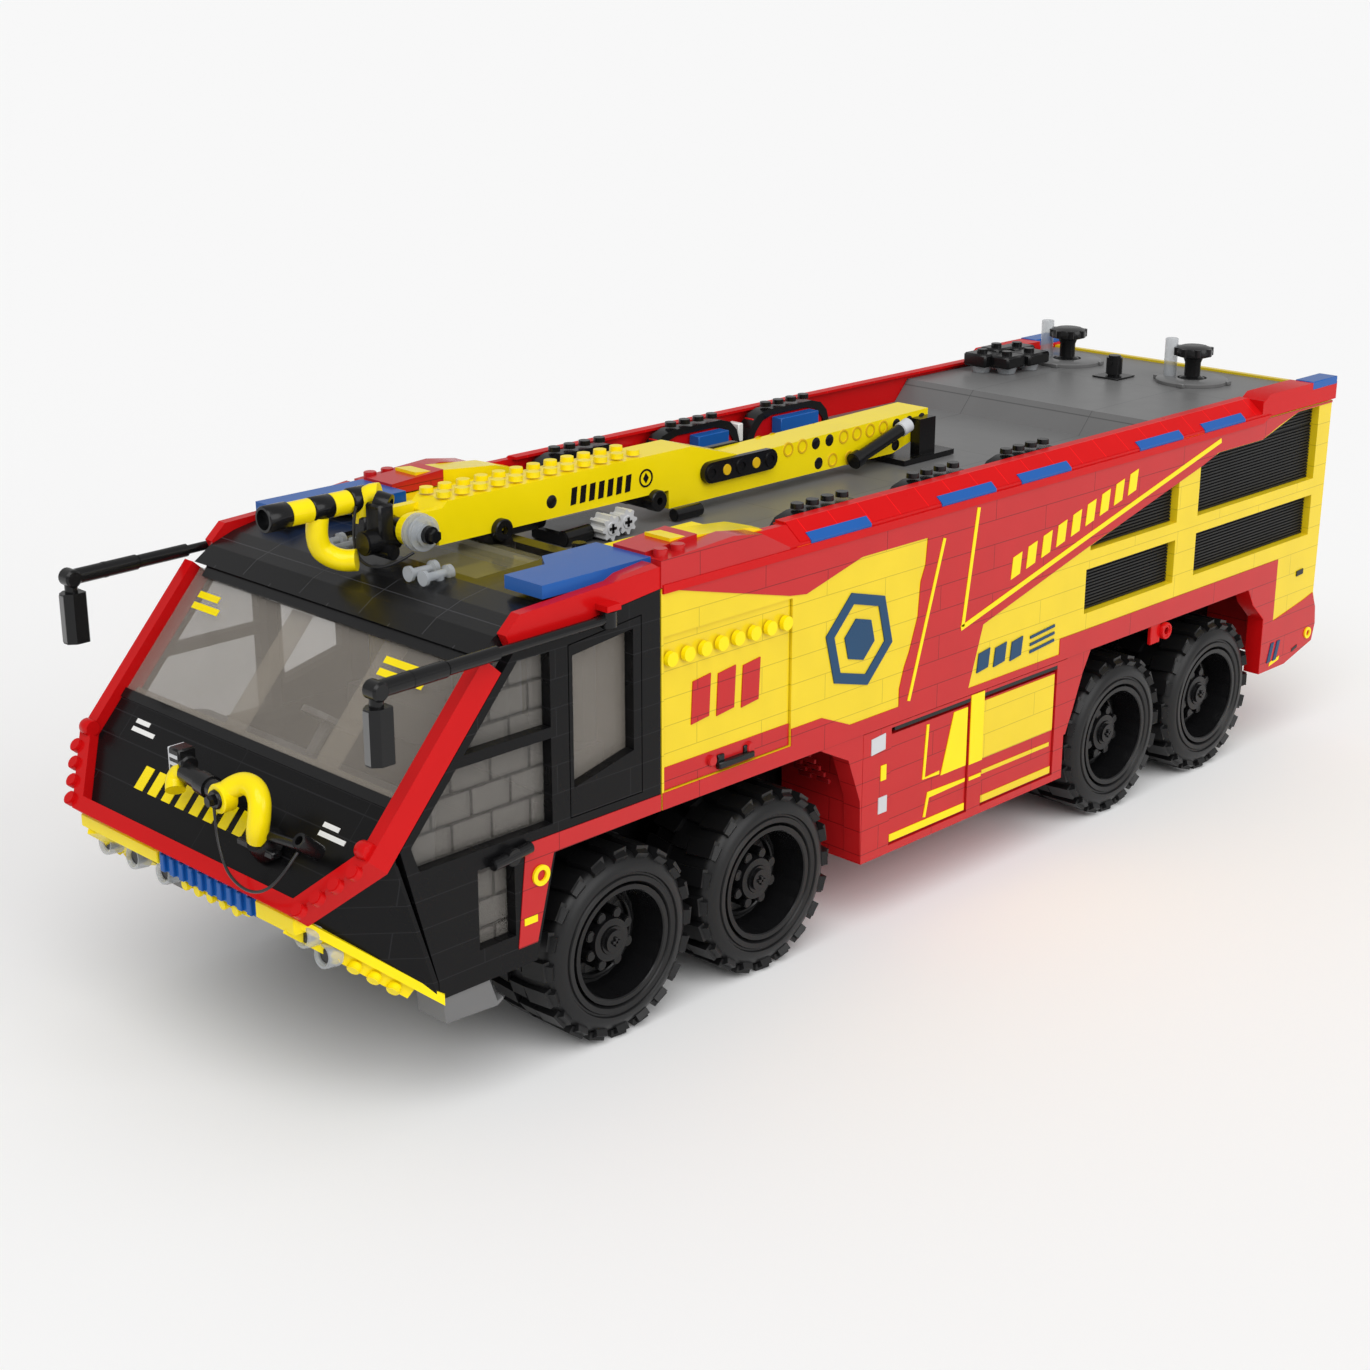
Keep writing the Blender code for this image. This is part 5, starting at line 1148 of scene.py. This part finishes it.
for start, end, radius in (((-14, 6, 10.5), (-42, 8, 8.4), 3.2), ((-24, 6.6, 9.6), (-31, 7.2, 9.2), 3.9)):
    addRod(dark, atFoot(*start), atFoot(*end), radius, 20, bevel=0.5)
head = atFoot(-46, 11, 9)
addBlock(dark, head - Vector((2.4, 3.3, 4.8)), head + Vector((3.6, 3.3, 4.8)), 0.6)
addTurned(dark, [(0, 0), (3.0, 0), (3.0, 2.2), (2.4, 2.8), (0, 2.8)], head + Vector((3.4, -0.4, 0)), (1, -0.2, 0), 20)
addRod(dark, atFoot(0, 1, 3), atFoot(25.5, 3, 3), 1.6, 14)
addTurned(dark, [(1.5, 1.6), (1.5, 10.8), (2.4, 11), (2.6, 10.4), (2.6, 1.6)], atFoot(25.5, 3, 0), slopeOut, 22)
addBlock(pale, head - Vector((3.0, 3.1, 4.6)), head - Vector((2.3, -3.1, -4.6)), 0.2)
for offset in (-2.2, -0.6, 1.0):
    addBlock(pale, head + Vector((-1.6, -3.6, offset * 1.6)), head + Vector((2.8, -3.2, offset * 1.6 + 1.2)), 0.1)
makePiece("bumperMonitorBlack", dark, black, "bumper_monitor", ("bumper_monitor",))
makePiece("bumperMonitorYellow", bright, yellowPlain, "bumper_monitor")
makePiece("bumperMonitorGrey", pale, greyLight, "bumper_monitor")
print("monitors ready")


# ---- mirrors
for side, sign in sides:
    low, high = boxOf(f"mirror_{side}")
    x, root, end = (low.x + high.x) / 2, Vector((0, high.y - 2.7, 152.4)), Vector((0, low.y + 4, 151))
    root.x = end.x = x
    bm = bmesh.new()
    knee, knee2 = root.lerp(end, 0.52), root.lerp(end, 0.72)
    addRod(bm, root, knee, 1.6, 14, bevel=0.2)
    addRod(bm, knee - (end - root).normalized() * 2, knee2, 2.3, 14, bevel=0.4)
    addRod(bm, knee2 - (end - root).normalized() * 0.2, end, 2.7, 14, bevel=0.5)
    addRod(bm, root.lerp(end, 0.85), root.lerp(end, 0.865), 2.8, 14, bevel=0.1)
    addTurned(bm, [(0, -3.1), (2.4, -3.1), (3.1, -2.4), (3.1, 2.4), (2.4, 3.1), (0, 3.1)], end, (1, 0, 0), 20)
    addRod(bm, end, end - Vector((0, 0, 6)), 2.2, 14, bevel=0.2)
    addTurned(bm, [(0, -3.1), (2.1, -3.1), (2.7, -2.6), (2.7, 2.6), (2.1, 3), (0, 3)], root, (0, 0, 1), 18)
    addPrism(bm, [(x - 3.4, end.y - 1.4), (x - 1.4, end.y - 3.9), (x + 1.4, end.y - 3.9), (x + 3.4, end.y - 1.4),
                  (x + 3.4, end.y + 3.4), (x + 2.8, end.y + 3.9), (x - 2.8, end.y + 3.9), (x - 3.4, end.y + 3.4)],
             128.4, 146, "z")
    makePiece(f"mirrorArm_{side}", bm, black, f"mirror_{side}", (f"mirror_{side}",))
    bm = bmesh.new()
    addPrism(bm, rectangle(x - 1.3, end.y - 4.15, x + 1.3, end.y - 3.8), 129, 145.4, "z")
    makePiece(f"mirrorRidge_{side}", bm, greyPlain, f"mirror_{side}")
print("mirrors ready")


# ---- carried-over nodes
looks = ((black, ("chassis_frame", "cab_floor", "boom_base", *(f"wheelset_{number}" for number in range(1, 5)))),
         (blackBrick, ("fascia", "nose", *(f"{part}_{side}" for part in ("cab_side", "cab_door") for side,
                                           _ in sides))),
         (smokedBrick, [f"side_window_{side}" for side, _ in sides]),
         (smoked, ("windscreen", *(f"door_window_{side}" for side, _ in sides))),
         (redPlain, ("front_frame", *(f"roof_edge_{side}" for side, _ in sides))),
         (blackTile, ["cab_roof"]), (smokedRoof, ["roof_window"]), (greyPlain, ("cab_seats", "dashboard")),
         (yellow, ("rear_panel", *(f"{part}_{side}" for part in ("body_side", "side_locker") for side, _ in sides))),
         (grilleBlack, [f"grille_{side}" for side, _ in sides]), (grey, ["roof_deck"]), (yellowPlain, ["boom"]),
         (red, ("rear_bumper", *(f"{part}_{side}" for part in ("skirt", "front_flap", "rear_flap") for side,
                                 _ in sides))))
for material, names in looks:
    for name in names:
        for entry in nodes[name].material_slots:
            entry.material = material

# ---- floor
bm = bmesh.new()
corners = [bm.verts.new((x, y, cadLow.z - 0.0002)) for x, y in ((-40, -40), (40, -40), (40, 40), (-40, 40))]
bm.faces.new(corners)
floorMesh = bpy.data.meshes.new("floor")
bm.to_mesh(floorMesh)
bm.free()
floorMesh.materials.append(finish("paleFloor", studio["floor"], 0.9, coat=0, grain=0, gloss=0, mottle=0))
floor = bpy.data.objects.new("floor", floorMesh)
scene.collection.objects.link(floor)
floor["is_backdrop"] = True
